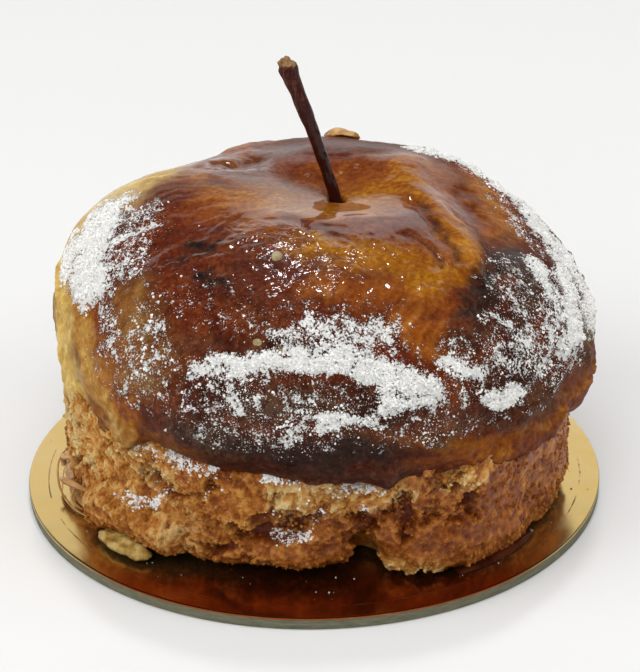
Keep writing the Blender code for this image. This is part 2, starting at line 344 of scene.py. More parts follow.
def caramelisedApple():
    # Cooked apple soaked in dark caramel: glassy where the caramel lies wet, with browns that
    # run from blonde flesh through amber and red-brown to almost black where it caught. The dark
    # layer also holds painted shade low on the front and in the pressed creases.
    material, tree, shader, place = newMaterial("Caramelised apple flesh")
    at = {name: addNode(tree, "Attribute", attribute_name=name).outputs["Fac"] for name in (
        "strand", "amber", "golden", "flesh", "dark", "char", "sugar", "wet", "rough")}
    broad = addNode(tree, "TexNoise", {
        "Vector": place, "Scale": perMm / 9, "Detail": 5, "Roughness": 0.6, "Distortion": 0.4})
    fine = addNode(tree, "TexNoise", {"Vector": place, "Scale": perMm / 0.8, "Detail": 5, "Roughness": 0.7})
    tone = blend(tree, (broad, 0.45), (fine, 0.55))
    grainy = blend(tree, (at["strand"], 0.42), (fine, 0.58))
    over = {
        "amber": (grainy, [(0.3, "#642a08"), (0.5, "#8a4812"), (0.72, "#b07028")]),
        "golden": (grainy, [(0.3, "#6e3c04"), (0.5, "#95590a"), (0.72, "#c08a20")]),
        "flesh": (grainy, [(0.3, "#a27628"), (0.5, "#ceaa58"), (0.72, "#ecd89a")]),
        # dark: near-black caramel, and painted shade low on the front and in the pressed creases
        "dark": (tone, [(0.35, "#170a07"), (0.5, "#342018"), (0.68, "#5c4634")]),
        "char": (fine, [(0.35, "#120a09"), (0.65, "#38251d")]),
    }
    brown = addNode(tree, "ValToRGB", {0: tone}, [(0.34, "#2a0703"), (0.5, "#5a230f"), (0.68, "#88441c")])
    colour = layered(tree, brown, [
        (at[name], addNode(tree, "ValToRGB", {0: value}, stops)) for name, (value, stops) in over.items()])
    dust = powderOn(tree, place, at["sugar"])
    bare = addNode(tree, "Math", {0: 1.0, 1: dust}, operation="SUBTRACT")
    dull = addNode(tree, "MapRange", {0: at["wet"], 3: 0.55, 4: 0.3}, **smooth)
    ripples = addNode(tree, "TexNoise", {
        "Vector": place, "Scale": perMm / 1.9, "Detail": 1.8, "Roughness": 0.5, "Distortion": 1.2})
    specks, clumps = [addNode(tree, "TexNoise", {
        "Vector": place, "Scale": perMm / size, "Detail": 3, "Roughness": roughness,
    }) for size, roughness in ((0.4, 0.8), (1.2, 0.6))]
    powder = blend(tree, (dust, blend(tree, (specks, 1.0), (clumps, 1.6))), (fine, 0.15))
    feed(tree, shader, {
        "Base Color": layered(tree, colour, [(dust, powderWhite)]),
        "Roughness": addNode(tree, "Math", {0: dull, 1: blend(tree, (dust, 0.9))}, operation="MAXIMUM"),
        "Specular IOR Level": 0.05,
        "Subsurface Weight": 0.1, "Subsurface Radius": (1, 0.4, 0.15), "Subsurface Scale": 1.5 * mm,
        "Coat Weight": blend(tree, (at["wet"], bare)), "Coat Roughness": 0.03, "Coat IOR": 1.5,
        "Coat Normal": addNode(tree, "Bump", {
            "Height": blend(tree, (ripples, at["rough"])), "Strength": 1.0, "Distance": 0.36 * mm}),
        "Normal": addNode(tree, "Bump", {"Height": powder, "Strength": 1.0, "Distance": 0.5 * mm}),
    })
    return material


def shortCrust():
    # Short pastry baked hard: matt sandy gold where dry, dark and a little shiny where
    # butter and caramel soaked in.
    material, tree, shader, place = newMaterial("Short crust")
    at = {name: addNode(tree, "Attribute", attribute_name=name).outputs["Fac"] for name in (
        "raised", "soaked", "coarse", "crevice_shade", "sugar")}
    broad = addNode(tree, "TexNoise", {"Vector": place, "Scale": perMm / 5, "Detail": 5, "Roughness": 0.65})
    sand = addNode(tree, "TexNoise", {"Vector": place, "Scale": perMm / 0.7, "Detail": 5, "Roughness": 0.75})
    # raised lightens the tone on raised crumbs and at the brinks of tears: a painted highlight on the relief
    tone = blend(tree, (broad, 0.35), (sand, 0.3), (at["raised"], 0.35))
    baked, soaked, coarse = [addNode(tree, "ValToRGB", {0: tone}, stops) for stops in (
        [(0.36, "#8a4618"), (0.48, "#b26a29"), (0.6, "#d69648")],
        [(0.36, "#743810"), (0.48, "#98541c"), (0.61, "#bc7836")],
        [(0.36, "#c0762c"), (0.48, "#e8aa54"), (0.6, "#fae0a0")])]
    dust = powderOn(tree, place, blend(tree, (at["sugar"], 0.75)))
    bare = addNode(tree, "Math", {0: 1.0, 1: dust}, operation="SUBTRACT")
    gloss = addNode(tree, "MapRange", {0: at["soaked"], 3: 0.05, 4: 0.25}, **smooth)
    crumb = addNode(tree, "TexVoronoi", {"Vector": place, "Scale": perMm / 0.7, "Randomness": 1.0})
    dry = addNode(tree, "MapRange", {0: at["soaked"], 1: 0.3, 2: 1, 3: 1, 4: 0.42}, **smooth)
    grains = blend(tree, (blend(tree, (sand, 1.0), (crumb, -0.7)), dry))
    feed(tree, shader, {
        "Base Color": layered(tree, baked, [
            # crevice_shade darkens torn hollows and the joints between crumbs: painted shade
            (at["soaked"], soaked), (at["coarse"], coarse), (at["crevice_shade"], linear("#5a2008")),
            (dust, powderWhite)]),
        "Roughness": addNode(tree, "MapRange", {0: at["soaked"], 3: 0.6, 4: 0.4}, **smooth),
        "Specular IOR Level": 0.2,
        "Subsurface Weight": 0.15, "Subsurface Radius": (1, 0.45, 0.2), "Subsurface Scale": 1 * mm,
        "Coat Weight": blend(tree, (gloss, bare)), "Coat Roughness": 0.2,
        "Normal": addNode(tree, "Bump", {"Height": grains, "Strength": 1.0, "Distance": 0.55 * mm}),
    })
    return material


def icingSugar():
    # Fine ground sugar: pure white, soft and matt, a shade greyer here and there.
    material, tree, shader, place = newMaterial("Icing sugar")
    fine = addNode(tree, "TexNoise", {"Vector": place, "Scale": perMm / 0.5, "Detail": 2, "Roughness": 0.55})
    feed(tree, shader, {
        "Base Color": addNode(tree, "ValToRGB", {0: fine}, [(0.3, "#e9e8e4"), (0.7, "#f6f5f2")]),
        "Roughness": 0.85, "Specular IOR Level": 0.2,
    })
    return material


def stalkBark():
    # Dried apple stalk: dark bark with fine lengthwise furrows, pale wood where it snapped.
    material, tree, shader, place = newMaterial("Stalk bark")
    at = {name: addNode(tree, "Attribute", attribute_name=name).outputs["Fac"] for name in (
        "snapped", "sticky")}
    lengthwise = addNode(tree, "Mapping", {
        "Vector": place, "Rotation": (0, math.radians(22), 0), "Scale": (1, 1, 0.12)})
    furrows, spots, splinters = [addNode(tree, "TexNoise", {
        "Vector": vector, "Scale": perMm / size, "Detail": detail, "Roughness": 0.7,
    }) for vector, size, detail in ((lengthwise, 0.35, 4), (place, 0.5, 5), (place, 0.35, 4))]
    bark = blend(tree, (furrows, 0.6), (spots, 0.4))
    dark = addNode(tree, "ValToRGB", {0: bark}, [(0.36, "#1c0806"), (0.5, "#3e1812"), (0.66, "#74483a")])
    wood = addNode(tree, "ValToRGB", {0: splinters}, [(0.3, "#6a4a2c"), (0.7, "#b18c5e")])
    feed(tree, shader, {
        "Base Color": layered(tree, dark, [(at["snapped"], wood), (at["sticky"], linear("#2a0806"))]),
        "Roughness": addNode(tree, "MapRange", {0: at["sticky"], 3: 0.55, 4: 0.25}, **smooth),
        "Specular IOR Level": 0.2,
        "Coat Weight": blend(tree, (at["sticky"], 0.3)), "Coat Roughness": 0.12,
        "Normal": addNode(tree, "Bump", {"Height": bark, "Strength": 1.0, "Distance": 0.16 * mm}),
    })
    return material


def cookedFlesh(name, stops, coat):
    # Soft pale apple flesh, moist on the outside.
    material, tree, shader, place = newMaterial(name)
    broad = addNode(tree, "TexNoise", {"Vector": place, "Scale": perMm / 1.6, "Detail": 4, "Roughness": 0.6})
    fine = addNode(tree, "TexNoise", {"Vector": place, "Scale": perMm / 0.6, "Detail": 3, "Roughness": 0.55})
    feed(tree, shader, {
        "Base Color": addNode(tree, "ValToRGB", {0: broad}, stops),
        "Roughness": 0.4,
        "Subsurface Weight": 0.25, "Subsurface Radius": (1, 0.6, 0.3), "Subsurface Scale": 1 * mm,
        "Coat Weight": coat, "Coat Roughness": 0.15,
        "Normal": addNode(tree, "Bump", {"Height": fine, "Strength": 0.6, "Distance": 0.2 * mm}),
    })
    return material


def goldFoil():
    # Gold foil pressed on board: a soft mirror with a gentle swell, fine rubbed specks, and a
    # scuffed line pressed round near the rim. Towards the front its colour is tinted red-brown,
    # a painted reflection of the tart.
    material, tree, shader, place = newMaterial("Gold foil")
    line, lineHalf, lineFades = 41.9 * mm, 0.05 * mm, 0.16 * mm
    haze, specks, swell = [addNode(tree, "TexNoise", {
        "Vector": place, "Scale": perMm / size, "Detail": detail, "Roughness": roughness,
    }) for size, detail, roughness in ((7, 4, 0.6), (0.5, 3, 0.8), (14, 2, 0.55))]
    flat = addNode(tree, "VectorMath", {0: place, 1: (1, 1, 0)}, operation="MULTIPLY")
    out = addNode(tree, "VectorMath", {0: flat}, operation="LENGTH").outputs["Value"]
    off = addNode(tree, "Math", {0: addNode(tree, "Math", {0: out, 1: line}, operation="SUBTRACT")},
                  operation="ABSOLUTE")
    scuffed = blend(tree, (
        addNode(tree, "MapRange", {0: off, 1: lineHalf, 2: lineFades, 3: 1, 4: 0}, **smooth),
        addNode(tree, "MapRange", {0: haze, 1: 0.45, 2: 0.6}, **smooth)))
    rubbed = addNode(tree, "MapRange", {0: specks, 1: 0.66, 2: 0.72}, **smooth)
    worn = addNode(tree, "Math", {0: blend(tree, (scuffed, 0.5)), 1: blend(tree, (rubbed, 0.35))},
                   operation="MAXIMUM")
    frontward = addNode(tree, "SeparateXYZ", {0: place}).outputs["Y"]
    # painted reflection: towards the front, where the tart is mirrored, the foil's colour is tinted red-brown
    mirroredTartTint = blend(tree, (
        addNode(tree, "MapRange", {0: frontward, 1: -24 * mm, 2: -36 * mm}, **smooth),
        addNode(tree, "MapRange", {0: haze, 1: 0.2, 2: 0.5, 3: 0.7, 4: 1}, **smooth)))
    gold = addNode(tree, "ValToRGB", {0: haze}, [(0.3, "#d6b56a"), (0.7, "#dfc383")])
    polish = addNode(tree, "MapRange", {0: haze, 1: 0.3, 2: 0.7, 3: 0.13, 4: 0.2}, **smooth)
    feed(tree, shader, {
        "Base Color": layered(tree, gold, [(mirroredTartTint, linear("#a05226")), (worn, linear("#c9906a"))]),
        "Metallic": 0.96,
        "Roughness": addNode(tree, "Math", {0: polish, 1: worn}, operation="ADD"),
        "Normal": addNode(tree, "Bump", {"Height": swell, "Strength": 0.5, "Distance": 0.3 * mm}),
    })
    return material


def greyBoard():
    # Recycled board cut with a die: grey-green fibre in thin layers, seen at the edge.
    material, tree, shader, place = newMaterial("Grey board")
    stretch = addNode(tree, "Mapping", {"Vector": place, "Scale": (1, 1, 6)})
    fibre = addNode(tree, "TexNoise", {"Vector": stretch, "Scale": perMm / 2, "Detail": 5, "Roughness": 0.7})
    feed(tree, shader, {
        "Base Color": addNode(tree, "ValToRGB", {0: fibre}, [
            (0.3, "#55533f"), (0.6, "#73715c"), (0.85, "#95937c")]),
        "Roughness": 0.8,
        "Normal": addNode(tree, "Bump", {"Height": fibre, "Strength": 0.8, "Distance": 0.15 * mm}),
    })
    return material


def runCaramel(name, stops, clearness, roughness):
    # Caramel that ran out and set: clear and dark over the foil, smooth as glass.
    material, tree, shader, place = newMaterial(name)
    broad, fine = [addNode(tree, "TexNoise", {
        "Vector": place, "Scale": perMm / size, "Detail": detail, "Roughness": 0.55,
    }) for size, detail in ((3, 3), (1.5, 2))]
    feed(tree, shader, {
        "Base Color": addNode(tree, "ValToRGB", {0: broad}, stops),
        "Roughness": roughness, "Transmission Weight": clearness, "IOR": 1.48,
        "Normal": addNode(tree, "Bump", {"Height": fine, "Strength": 0.6, "Distance": 0.1 * mm}),
    })
    return material


powderWhite = linear("#f4f3f0")
appleSkin = caramelisedApple()
crustSkin = shortCrust()
sugarWhite = icingSugar()
barkSkin = stalkBark()
# cooked flesh: its colours, and how wet it is
creamFlesh = cookedFlesh("Pale cooked flesh", [(0.35, "#86682e"), (0.5, "#a88844"), (0.65, "#c8ac70")], 0.3)
pulpSkin = cookedFlesh("Cooked pulp", [(0.35, "#7c6a44"), (0.5, "#94845c"), (0.65, "#aa9a76")], 0.6)
toastedFlesh = cookedFlesh("Toasted flesh", [(0.35, "#8a5a26"), (0.5, "#b07e40"), (0.65, "#cca062")], 0.3)
foilSkin = goldFoil()
boardSkin = greyBoard()
# caramel: its colours, how clear it is, and its roughness
caramelSkin = runCaramel("Set caramel", [(0.3, "#4a1c10"), (0.7, "#7c3d22")], 0.5, 0.05)
filmSkin = runCaramel("Caramel film", [(0.3, "#b0783c"), (0.7, "#dcb078")], 0.12, 0.12)
print("materials made")


# the apple

apple = {
    "voxel": 0.472, "smoothing": 14,
    # how far the borders of its patches wander, as a share of its half width, and how finely
    "wander": 0.055, "wanderSize": 9, "stray": 0.03, "straySize": 3,
    # relief: heights and sizes in mm
    "unevenness": 0.4, "unevennessSize": 13,
    "strand": 0.13, "strandSize": 1.3, "strandTwist": 0.5,
    "wax": 0.4, "waxSize": 2.4, "waxTwist": -1.1,
    "hem": 0.6, "hemSize": 7, "hemTilt": (88, 104),
    "pebble": 0.15, "pebbleSize": 2.0,
    "pore": 0.07, "poreSize": 0.9, "poreTilt": (40, 70),
    "lump": 0.8, "lumpSize": 2.0,
    "drift": 0.45, "driftSize": 1.3, "heapSize": 2.6, "heapStarts": (0.5, 1.1),
    # the tilts between which it goes from wet to dry
    "driesFrom": (48, 72),
    # the dimple where caramel stands, and the shoulder in front of it
    "pool": ([(-60, 12), (0, 8), (60, 14), (120, 20), (170, 18)], 16),
    "shoulder": ([(-30, 32), (0, 38), (30, 42)], 18),
    # where each colour lies: (path of (bearing, tilt), reach in degrees, strength)
    "golden": [
        ([(-10, 29), (6, 29)], 6.5, 1), ([(6, 30), (22, 32), (28, 40), (36, 45)], 8, 1),
        ([(24, 36), (30, 46)], 7, 1), ([(40, 42), (42, 48)], 4, 0.9),
        ([(116, 20), (94, 26), (70, 33), (56, 41), (51, 45)], 6.5, 0.6),
        ([(-70, 15), (-48, 15), (-20, 11), (30, 10), (90, 12)], 10, 0.85),
        ([(-104, 26), (-80, 22)], 5, 0.35), ([(150, 52)], 12, 0.6),
        ([(-130, 46), (-136, 76), (-130, 104)], 14, 0.8), ([(148, 90), (-164, 98)], 20, 0.8),
        ([(-66, 72), (-58, 90), (-53, 106)], 9.5, 1),
        ([(-60, 108), (-44, 111)], 5, 0.8), ([(24, 106), (30, 110)], 4, 0.6),
        ([(58, 101), (74, 99)], 5, 0.15),
    ],
    "amber": [
        ([(0, 3), (90, 12), (120, 20)], 17, 0.9), ([(-62, 19), (-49, 16)], 12, 1),
        ([(-120, 8), (150, 10)], 12, 0.5),
        ([(120, 42), (104, 45), (88, 49), (78, 44)], 10, 1),
        ([(116, 20), (94, 26), (70, 33), (56, 41), (51, 45)], 6.5, 1),
        ([(4, 42), (24, 48), (44, 38), (56, 37)], 12, 0.8), ([(80, 30), (115, 30)], 11, 0.6),
        ([(18, 56), (24, 62), (26, 68)], 7, 1), ([(-34, 24)], 10, 0.6),
        ([(130, 70), (170, 62)], 18, 0.6), ([(-144, 44), (-152, 90)], 18, 0.9),
        ([(130, 92), (-156, 98)], 28, 0.9),
        ([(-67, 68), (-56, 88), (-48, 102)], 11, 1), ([(-52, 60), (-46, 74)], 9, 0.4),
        ([(-100, 26), (-130, 30)], 14, 0.5),
        ([(-30, 14), (0, 14), (40, 14)], 9, 1), ([(-62, 106), (-46, 109), (-30, 112)], 6, 1),
        ([(48, 107), (66, 106), (96, 104)], 9, 0.5), ([(-43, 96)], 6, 0.6),
        ([(6, 101), (19, 101)], 7, 1), ([(22, 112), (50, 113), (100, 112)], 6, 0.6),
        ([(76, 96), (92, 100)], 8, 0.8),
    ],
    "flesh": [
        ([(-76, 112), (-78, 84), (-92, 62), (-100, 45)], 17, 1),
        ([(-62, 78), (-56, 92), (-54, 104)], 9, 0.35), ([(-60, 102), (-50, 116)], 9, 0.35),
        ([(-50, 58), (-38, 72), (-42, 86)], 12, 0.13), ([(112, 44), (92, 49)], 9, 0.1),
        ([(76, 95), (92, 98)], 9, 0.55),
        ([(-96, 41), (-107, 35), (-122, 42)], 8, 0.9), ([(-114, 66), (-108, 96)], 20, 0.9),
        ([(168, 92), (-172, 100)], 15, 0.45),
    ],
    "dark": [
        # dark caramel, deepened with painted shade on the rows low on the front and right (tilt over 80),
        # where the apple curves under towards the crust
        ([(-26, 102), (-14, 105), (-2, 107), (8, 106)], 18, 1), ([(-18, 84), (10, 88)], 20, 0.85),
        ([(14, 96), (32, 99)], 13, 0.6), ([(-36, 112), (-10, 117), (18, 116)], 8, 0.75),
        ([(62, 51), (70, 54), (66, 60), (56, 65), (46, 70)], 10, 1.0),
        ([(53, 50), (44, 55), (36, 60)], 7, 1.2), ([(72, 45), (86, 50)], 5, 0.45),
        ([(34, 68), (48, 66)], 10, 0.75),
        ([(70, 75), (76, 92)], 23, 0.75), ([(40, 85), (45, 100)], 20, 0.8),
        ([(46, 103), (56, 103)], 8, 0.6), ([(22, 102), (34, 104)], 7, 0.6),
        ([(-150, 85), (160, 80)], 24, 0.6),
        ([(-33, 33), (-22, 38)], 8, 0.3), ([(-28, 66), (0, 62)], 12, 0.5),
        # painted shade in the pressed creases: the thin rows through (82, 24) and (38, 29)
        ([(-30, 46), (-14, 50)], 9, 0.3), ([(82, 24), (58, 32), (50, 42)], 2, 0.7),
        ([(38, 29), (43, 34), (40, 40)], 1.8, 0.7), ([(-130, 22), (-160, 26)], 8, 0.4),
        ([(-27, 41)], 5, 0.4), ([(104, 55)], 3, 0.7),
    ],
    "char": [
        ([(-47, 37), (-42, 38)], 4, 1.1), ([(-44, 42)], 3.4, 1), ([(-40, 34)], 2.4, 0.7),
        ([(-35, 44), (-30, 47)], 2.6, 0.8),
        ([(-17, 59)], 2, 0.5), ([(-14, 64)], 2, 0.5), ([(54, 50)], 4, 0.6), ([(-150, 60)], 4, 0.7),
        ([(88, 51)], 1.4, 0.8),
    ],
    # where sugar fell, the same way
    "sugar": [
        ([(-84, 46), (-76, 54), (-68, 62)], 13, 1.2), ([(-88, 62), (-70, 68)], 9, 0.8),
        ([(-74, 38), (-60, 50)], 9, 0.5),
        ([(-56, 66), (-50, 72), (-50, 80)], 6, 0.55), ([(-46, 60), (-38, 66)], 7, 0.34),
        ([(-44, 56), (-20, 52), (10, 54)], 12, 0.17),
        ([(-18, 70), (-8, 67), (2, 66)], 8, 1), ([(-3, 67), (6, 67), (12, 73), (16, 82)], 9, 1.3),
        ([(12, 87), (17, 88)], 5.5, 1.1),
        ([(-26, 76), (-18, 74)], 6, 0.6), ([(-20, 78), (-17, 93)], 8, 0.5), ([(-8, 80), (-2, 90)], 8, 0.45),
        ([(-11, 61), (3, 58), (15, 60)], 7.5, 0.62), ([(-5, 55)], 4, 0.5), ([(12, 60)], 5, 0.5),
        ([(22, 66)], 5, 0.5),
        ([(0, 96), (2, 92), (6, 91), (9, 95)], 3.6, 1), ([(3, 95)], 7, 0.4),
        ([(34, 90), (38, 94)], 6.5, 1.15), ([(27, 74), (32, 80)], 6, 0.8), ([(30, 86)], 5, 0.6),
        ([(44, 76), (50, 70)], 7, 0.55),
        ([(140, 38), (130, 46), (121, 54), (110, 64), (98, 74), (88, 84), (80, 96)], 9, 1.15),
        ([(104, 60), (94, 67), (82, 76)], 9, 1), ([(73, 60), (69, 68), (66, 80)], 7, 0.85),
        ([(58, 54), (52, 66), (50, 82)], 14, 0.34), ([(44, 66), (48, 74)], 12, 0.5),
        ([(30, 72), (46, 80), (52, 92)], 11, 0.42), ([(12, 100), (36, 98)], 12, 0.22),
        ([(80, 76), (72, 84), (64, 87)], 12, 0.95), ([(68, 68), (60, 78), (50, 90)], 12, 0.5),
        ([(108, 48), (84, 60)], 8, 0.42), ([(62, 98), (50, 98)], 8, 0.4), ([(44, 100), (90, 98)], 8, 0.2),
        ([(-46, 74), (-26, 84), (-19, 99), (-5, 97)], 16, 0.36), ([(-40, 86), (0, 84), (40, 84)], 24, 0.28),
        ([(-176, 60), (168, 65)], 9, 1.05), ([(152, 74), (144, 78)], 6, 0.95), ([(-156, 58)], 5, 0.7),
        ([(-148, 60), (128, 74)], 17, 0.4), ([(-132, 64)], 9, 0.45),
        ([(132, 48), (104, 70), (88, 86)], 19, 0.36),
    ],
    # where the caramel isn't wet enough to mirror the room, and where its film is wrinkled
    "dull": [
        ([(60, 46), (98, 50), (120, 44)], 22, 0.9), ([(119, 18), (94, 22), (63, 30), (50, 44)], 9, 0.75),
        ([(-88, 32), (-75, 24), (-60, 34)], 17, 0.8), ([(38, 34), (52, 42)], 12, 0.9),
        ([(150, 40), (-170, 40)], 20, 0.4), ([(-20, 36), (20, 38)], 20, 0.3),
        ([(120, 12), (165, 15), (-150, 13)], 11, 1), ([(-40, 10), (20, 12), (60, 14)], 12, 0.25),
    ],
    "wrinkled": [
        ([(-29, 29), (-23, 27), (-14, 29)], 6, 1), ([(-20, 36), (-13, 38), (-8, 41)], 5, 1),
        ([(-11, 29), (0, 32), (9, 34)], 7, 1),
        ([(-6, 44), (5, 41)], 6, 0.9), ([(-46, 46), (-30, 50)], 8, 0.5), ([(14, 30), (26, 34)], 7, 0.45),
        ([(24, 44)], 6, 0.35),
        ([(-20, 50), (10, 50)], 10, 0.4),
    ],
    # melted flesh that slid over the crust's edge: (path, reach, mm outward), and its share of
    # that downward
    "sagDown": 0.9,
    "sags": [
        ([(-100, 122), (-80, 121), (-50, 120)], 11, 2.0), ([(40, 122), (54, 121)], 9, 0.7),
        ([(70, 121), (110, 122)], 9, 0.3),
        ([(0, 118), (14, 118)], 9, 1.2), ([(150, 121), (-160, 121)], 9, 1.2),
    ],
    # raised folds and pressed creases: (path, reach, height in mm)
    "folds": [
        ([(116, 20), (94, 26), (70, 33), (56, 40), (50, 46)], 8, 0.75),
        ([(39, 29), (43, 34), (40, 40)], 2.5, -0.35),
        ([(82, 22), (58, 31), (49, 42)], 4, -0.5), ([(108, 36), (86, 41), (68, 45), (54, 50)], 5, -0.5),
        ([(-129, 23), (-139, 23)], 6, -0.9), ([(-120, 28), (-140, 31)], 5, 0.5),
        ([(-100, 20), (-120, 18)], 4, 0.3),
        ([(-30, 19), (-4, 18), (21, 18), (45, 21), (80, 26)], 4, 0.14),
        ([(130, 24), (150, 17), (-170, 14)], 5, 0.5), ([(150, 22), (-178, 20)], 5, -0.4),
        ([(-88, 62), (-70, 64)], 3.5, -0.5), ([(-100, 84), (-74, 90)], 4, -0.6),
        ([(-90, 74), (-76, 78)], 5, 0.5),
        ([(-14, 54), (-20, 62)], 5, -0.6), ([(20, 55), (40, 60)], 6, -0.4),
        ([(35, 108), (50, 101), (66, 92)], 5, 0.5), ([(30, 102), (45, 95), (60, 86)], 3.5, -0.35),
        ([(160, 50), (175, 60)], 5, 0.5), ([(-150, 40), (-165, 55), (-150, 75)], 4, 0.5),
    ],
    # where the flesh shows its strands
    "strands": [
        ([(-85, 20), (-72, 32), (-50, 45)], 22, 1.3), ([(-80, 90), (-60, 98)], 26, 1),
        ([(-100, 40)], 20, 0.8),
        ([(100, 40), (70, 40)], 24, 0.35), ([(-150, 60), (150, 60)], 40, 0.5),
    ],
    "waxyStrands": [([(34, 108), (55, 100), (90, 88)], 22, 1)],
    # where crumbs and melted flesh are stuck to the lower edge
    "lumpy": [
        ([(32, 116), (50, 114), (70, 112), (100, 113)], 7, 1), ([(-62, 114), (-40, 118)], 5, 0.5),
        ([(140, 112), (-150, 112)], 7, 0.5),
    ],
}

appleMesh = fineCopy("apple", apple["voxel"], apple["smoothing"])
applePiece = addPiece("apple_flesh", appleMesh, appleSkin)
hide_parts("apple")
points, normals = readMesh(applePiece)
spots = directionsFrom(points)
wander = np.stack([fractal(points, apple["wanderSize"], seed, 4) for seed in (11, 12, 13)], 1)
wandering = spots + wander * apple["wander"]
wandering /= np.linalg.norm(wandering, axis=1, keepdims=True)
stray = np.stack([fractal(points, apple["straySize"], seed, 3) for seed in (14, 15, 16)], 1)
stray = wandering + stray * apple["stray"]
tilt = np.degrees(np.arccos(np.clip(spots[:, 2], -1, 1)))
pooled = patch(spots, *apple["pool"], 0.5)
shoulder = patch(spots, *apple["shoulder"])
fibrous = patches(wandering, apple["strands"])
waxy = patches(wandering, apple["waxyStrands"])
strand = fibres(wandering, apple["strandSize"], apple["strandTwist"], 21)
waxStrand = fibres(wandering, apple["waxSize"], apple["waxTwist"], 22, 2)
relief = apple["unevenness"] * fractal(points, apple["unevennessSize"], 31, 2) * (1 - 0.8 * pooled)
relief += apple["strand"] * strand * fibrous * (1 - pooled) + apple["wax"] * waxStrand * waxy
relief += apple["hem"] * fractal(points, apple["hemSize"], 32, 3) * eased(*apple["hemTilt"], tilt)
pebbly = (1 - pooled) * (0.35 + 0.65 * shoulder)
relief += apple["pebble"] * fractal(points, apple["pebbleSize"], 41, 2) * pebbly
relief += apple["pore"] * fractal(points, apple["poreSize"], 42, 2) * eased(*apple["poreTilt"], tilt)
lumpy = patches(wandering, apple["lumpy"], 0.9)
relief += apple["lump"] * lumpy * fractal(points, apple["lumpSize"], 33, 3)
for path, reach, height in apple["folds"]:
    relief += patch(wandering, path, reach, 1.0) * height
sugarFall = patches(stray, apple["sugar"], 0.9) * eased(-0.42, -0.2, spots[:, 2])
sugarFall *= 1 + 0.45 * fractal(points, 5, 50, 3)
heaped = eased(*apple["heapStarts"], sugarFall + 0.5 * fractal(points, apple["heapSize"], 51, 4))
relief += apple["drift"] * heaped * (0.8 + 0.6 * fractal(points, apple["driftSize"], 52, 3))
slid = patches(wandering, apple["sags"], 1.0)
slid *= np.clip(0.85 + 0.6 * fractal(points, 4, 53, 3), 0.2, 1.6)
points = points + normals * relief[:, None]
points += np.stack((spots[:, 0] * slid, spots[:, 1] * slid, -apple["sagDown"] * slid), 1)
writePoints(applePiece, points)
blot = 0.3 * fractal(points, 3.4, 61, 4)
for name in ("golden", "amber", "flesh", "dark", "char"):
    mask = patches(stray, apple[name], 0.9)
    if name == "char":
        mask *= 1 + 0.9 * fractal(points, 2.2, 62, 3)
    if name in ("golden", "amber"):
        crumbled = lumpy * (0.6 + 1.6 * fractal(points, 1.8, 34, 3))
        mask = np.maximum(mask, crumbled * (0.35 if name == "golden" else 1))
    paint(applePiece, name, np.clip(mask + blot * eased(0, 0.3, mask) * (1 - mask * 0.5), 0, 1))
paint(applePiece, "sugar", np.clip(sugarFall, 0, 1))
paint(applePiece, "strand", np.clip(0.5 + 0.35 * np.where(waxy > fibrous, waxStrand, strand), 0, 1))
# wet on top, drier down the sides, on bare flesh and towards the back
dry = eased(*apple["driesFrom"], tilt) * 0.92
dry += patches(spots, apple["flesh"], 0.9) * 0.5 + eased(0.1, 0.5, spots[:, 1]) * 0.5
paint(applePiece, "wet", np.clip(1 - dry - patches(wandering, apple["dull"], 1.0), 0.04, 1))
wrinkled = patches(wandering, apple["wrinkled"], 0.7)
paint(applePiece, "rough", np.clip(0.15 + wrinkled - pooled * 0.5, 0, 1))
print("apple shaped")


# pale bits of pulp caught in the caramel: (bearing, tilt, half sizes in mm)
pulpBits = [(-17, 33, (0.75, 1.05, 0.35)), (-15, 62, (0.7, 0.5, 0.12)), (-10, 64, (0.4, 0.5, 0.12))]
points, normals = readMesh(applePiece)
spots = directionsFrom(points)
for number, (bearing, tiltHere, size) in enumerate(pulpBits, 1):
    nearest = np.argmax(spots @ facing(bearing, tiltHere))
    bm = bmesh.new()
    turn = Vector(normals[nearest]).to_track_quat("Z", "Y").to_matrix().to_4x4()
    shape = Matrix.Translation(Vector(points[nearest]) * mm) @ turn
    shape = shape @ Matrix.Diagonal((*[v * mm for v in size], 1))
    bmesh.ops.create_icosphere(bm, subdivisions=4, radius=1, matrix=shape)
    mesh = bpy.data.meshes.new("pulp")
    bm.to_mesh(mesh)
    bm.free()
    mesh.shade_smooth()
    piece = addPiece(f"pulp_bit_{number}", mesh, pulpSkin)
    bitPoints, bitNormals = readMesh(piece)
    uneven = 0.2 * fractal(bitPoints, 1.0, 130 + number, 2)
    writePoints(piece, bitPoints + bitNormals * uneven[:, None])


# the crust

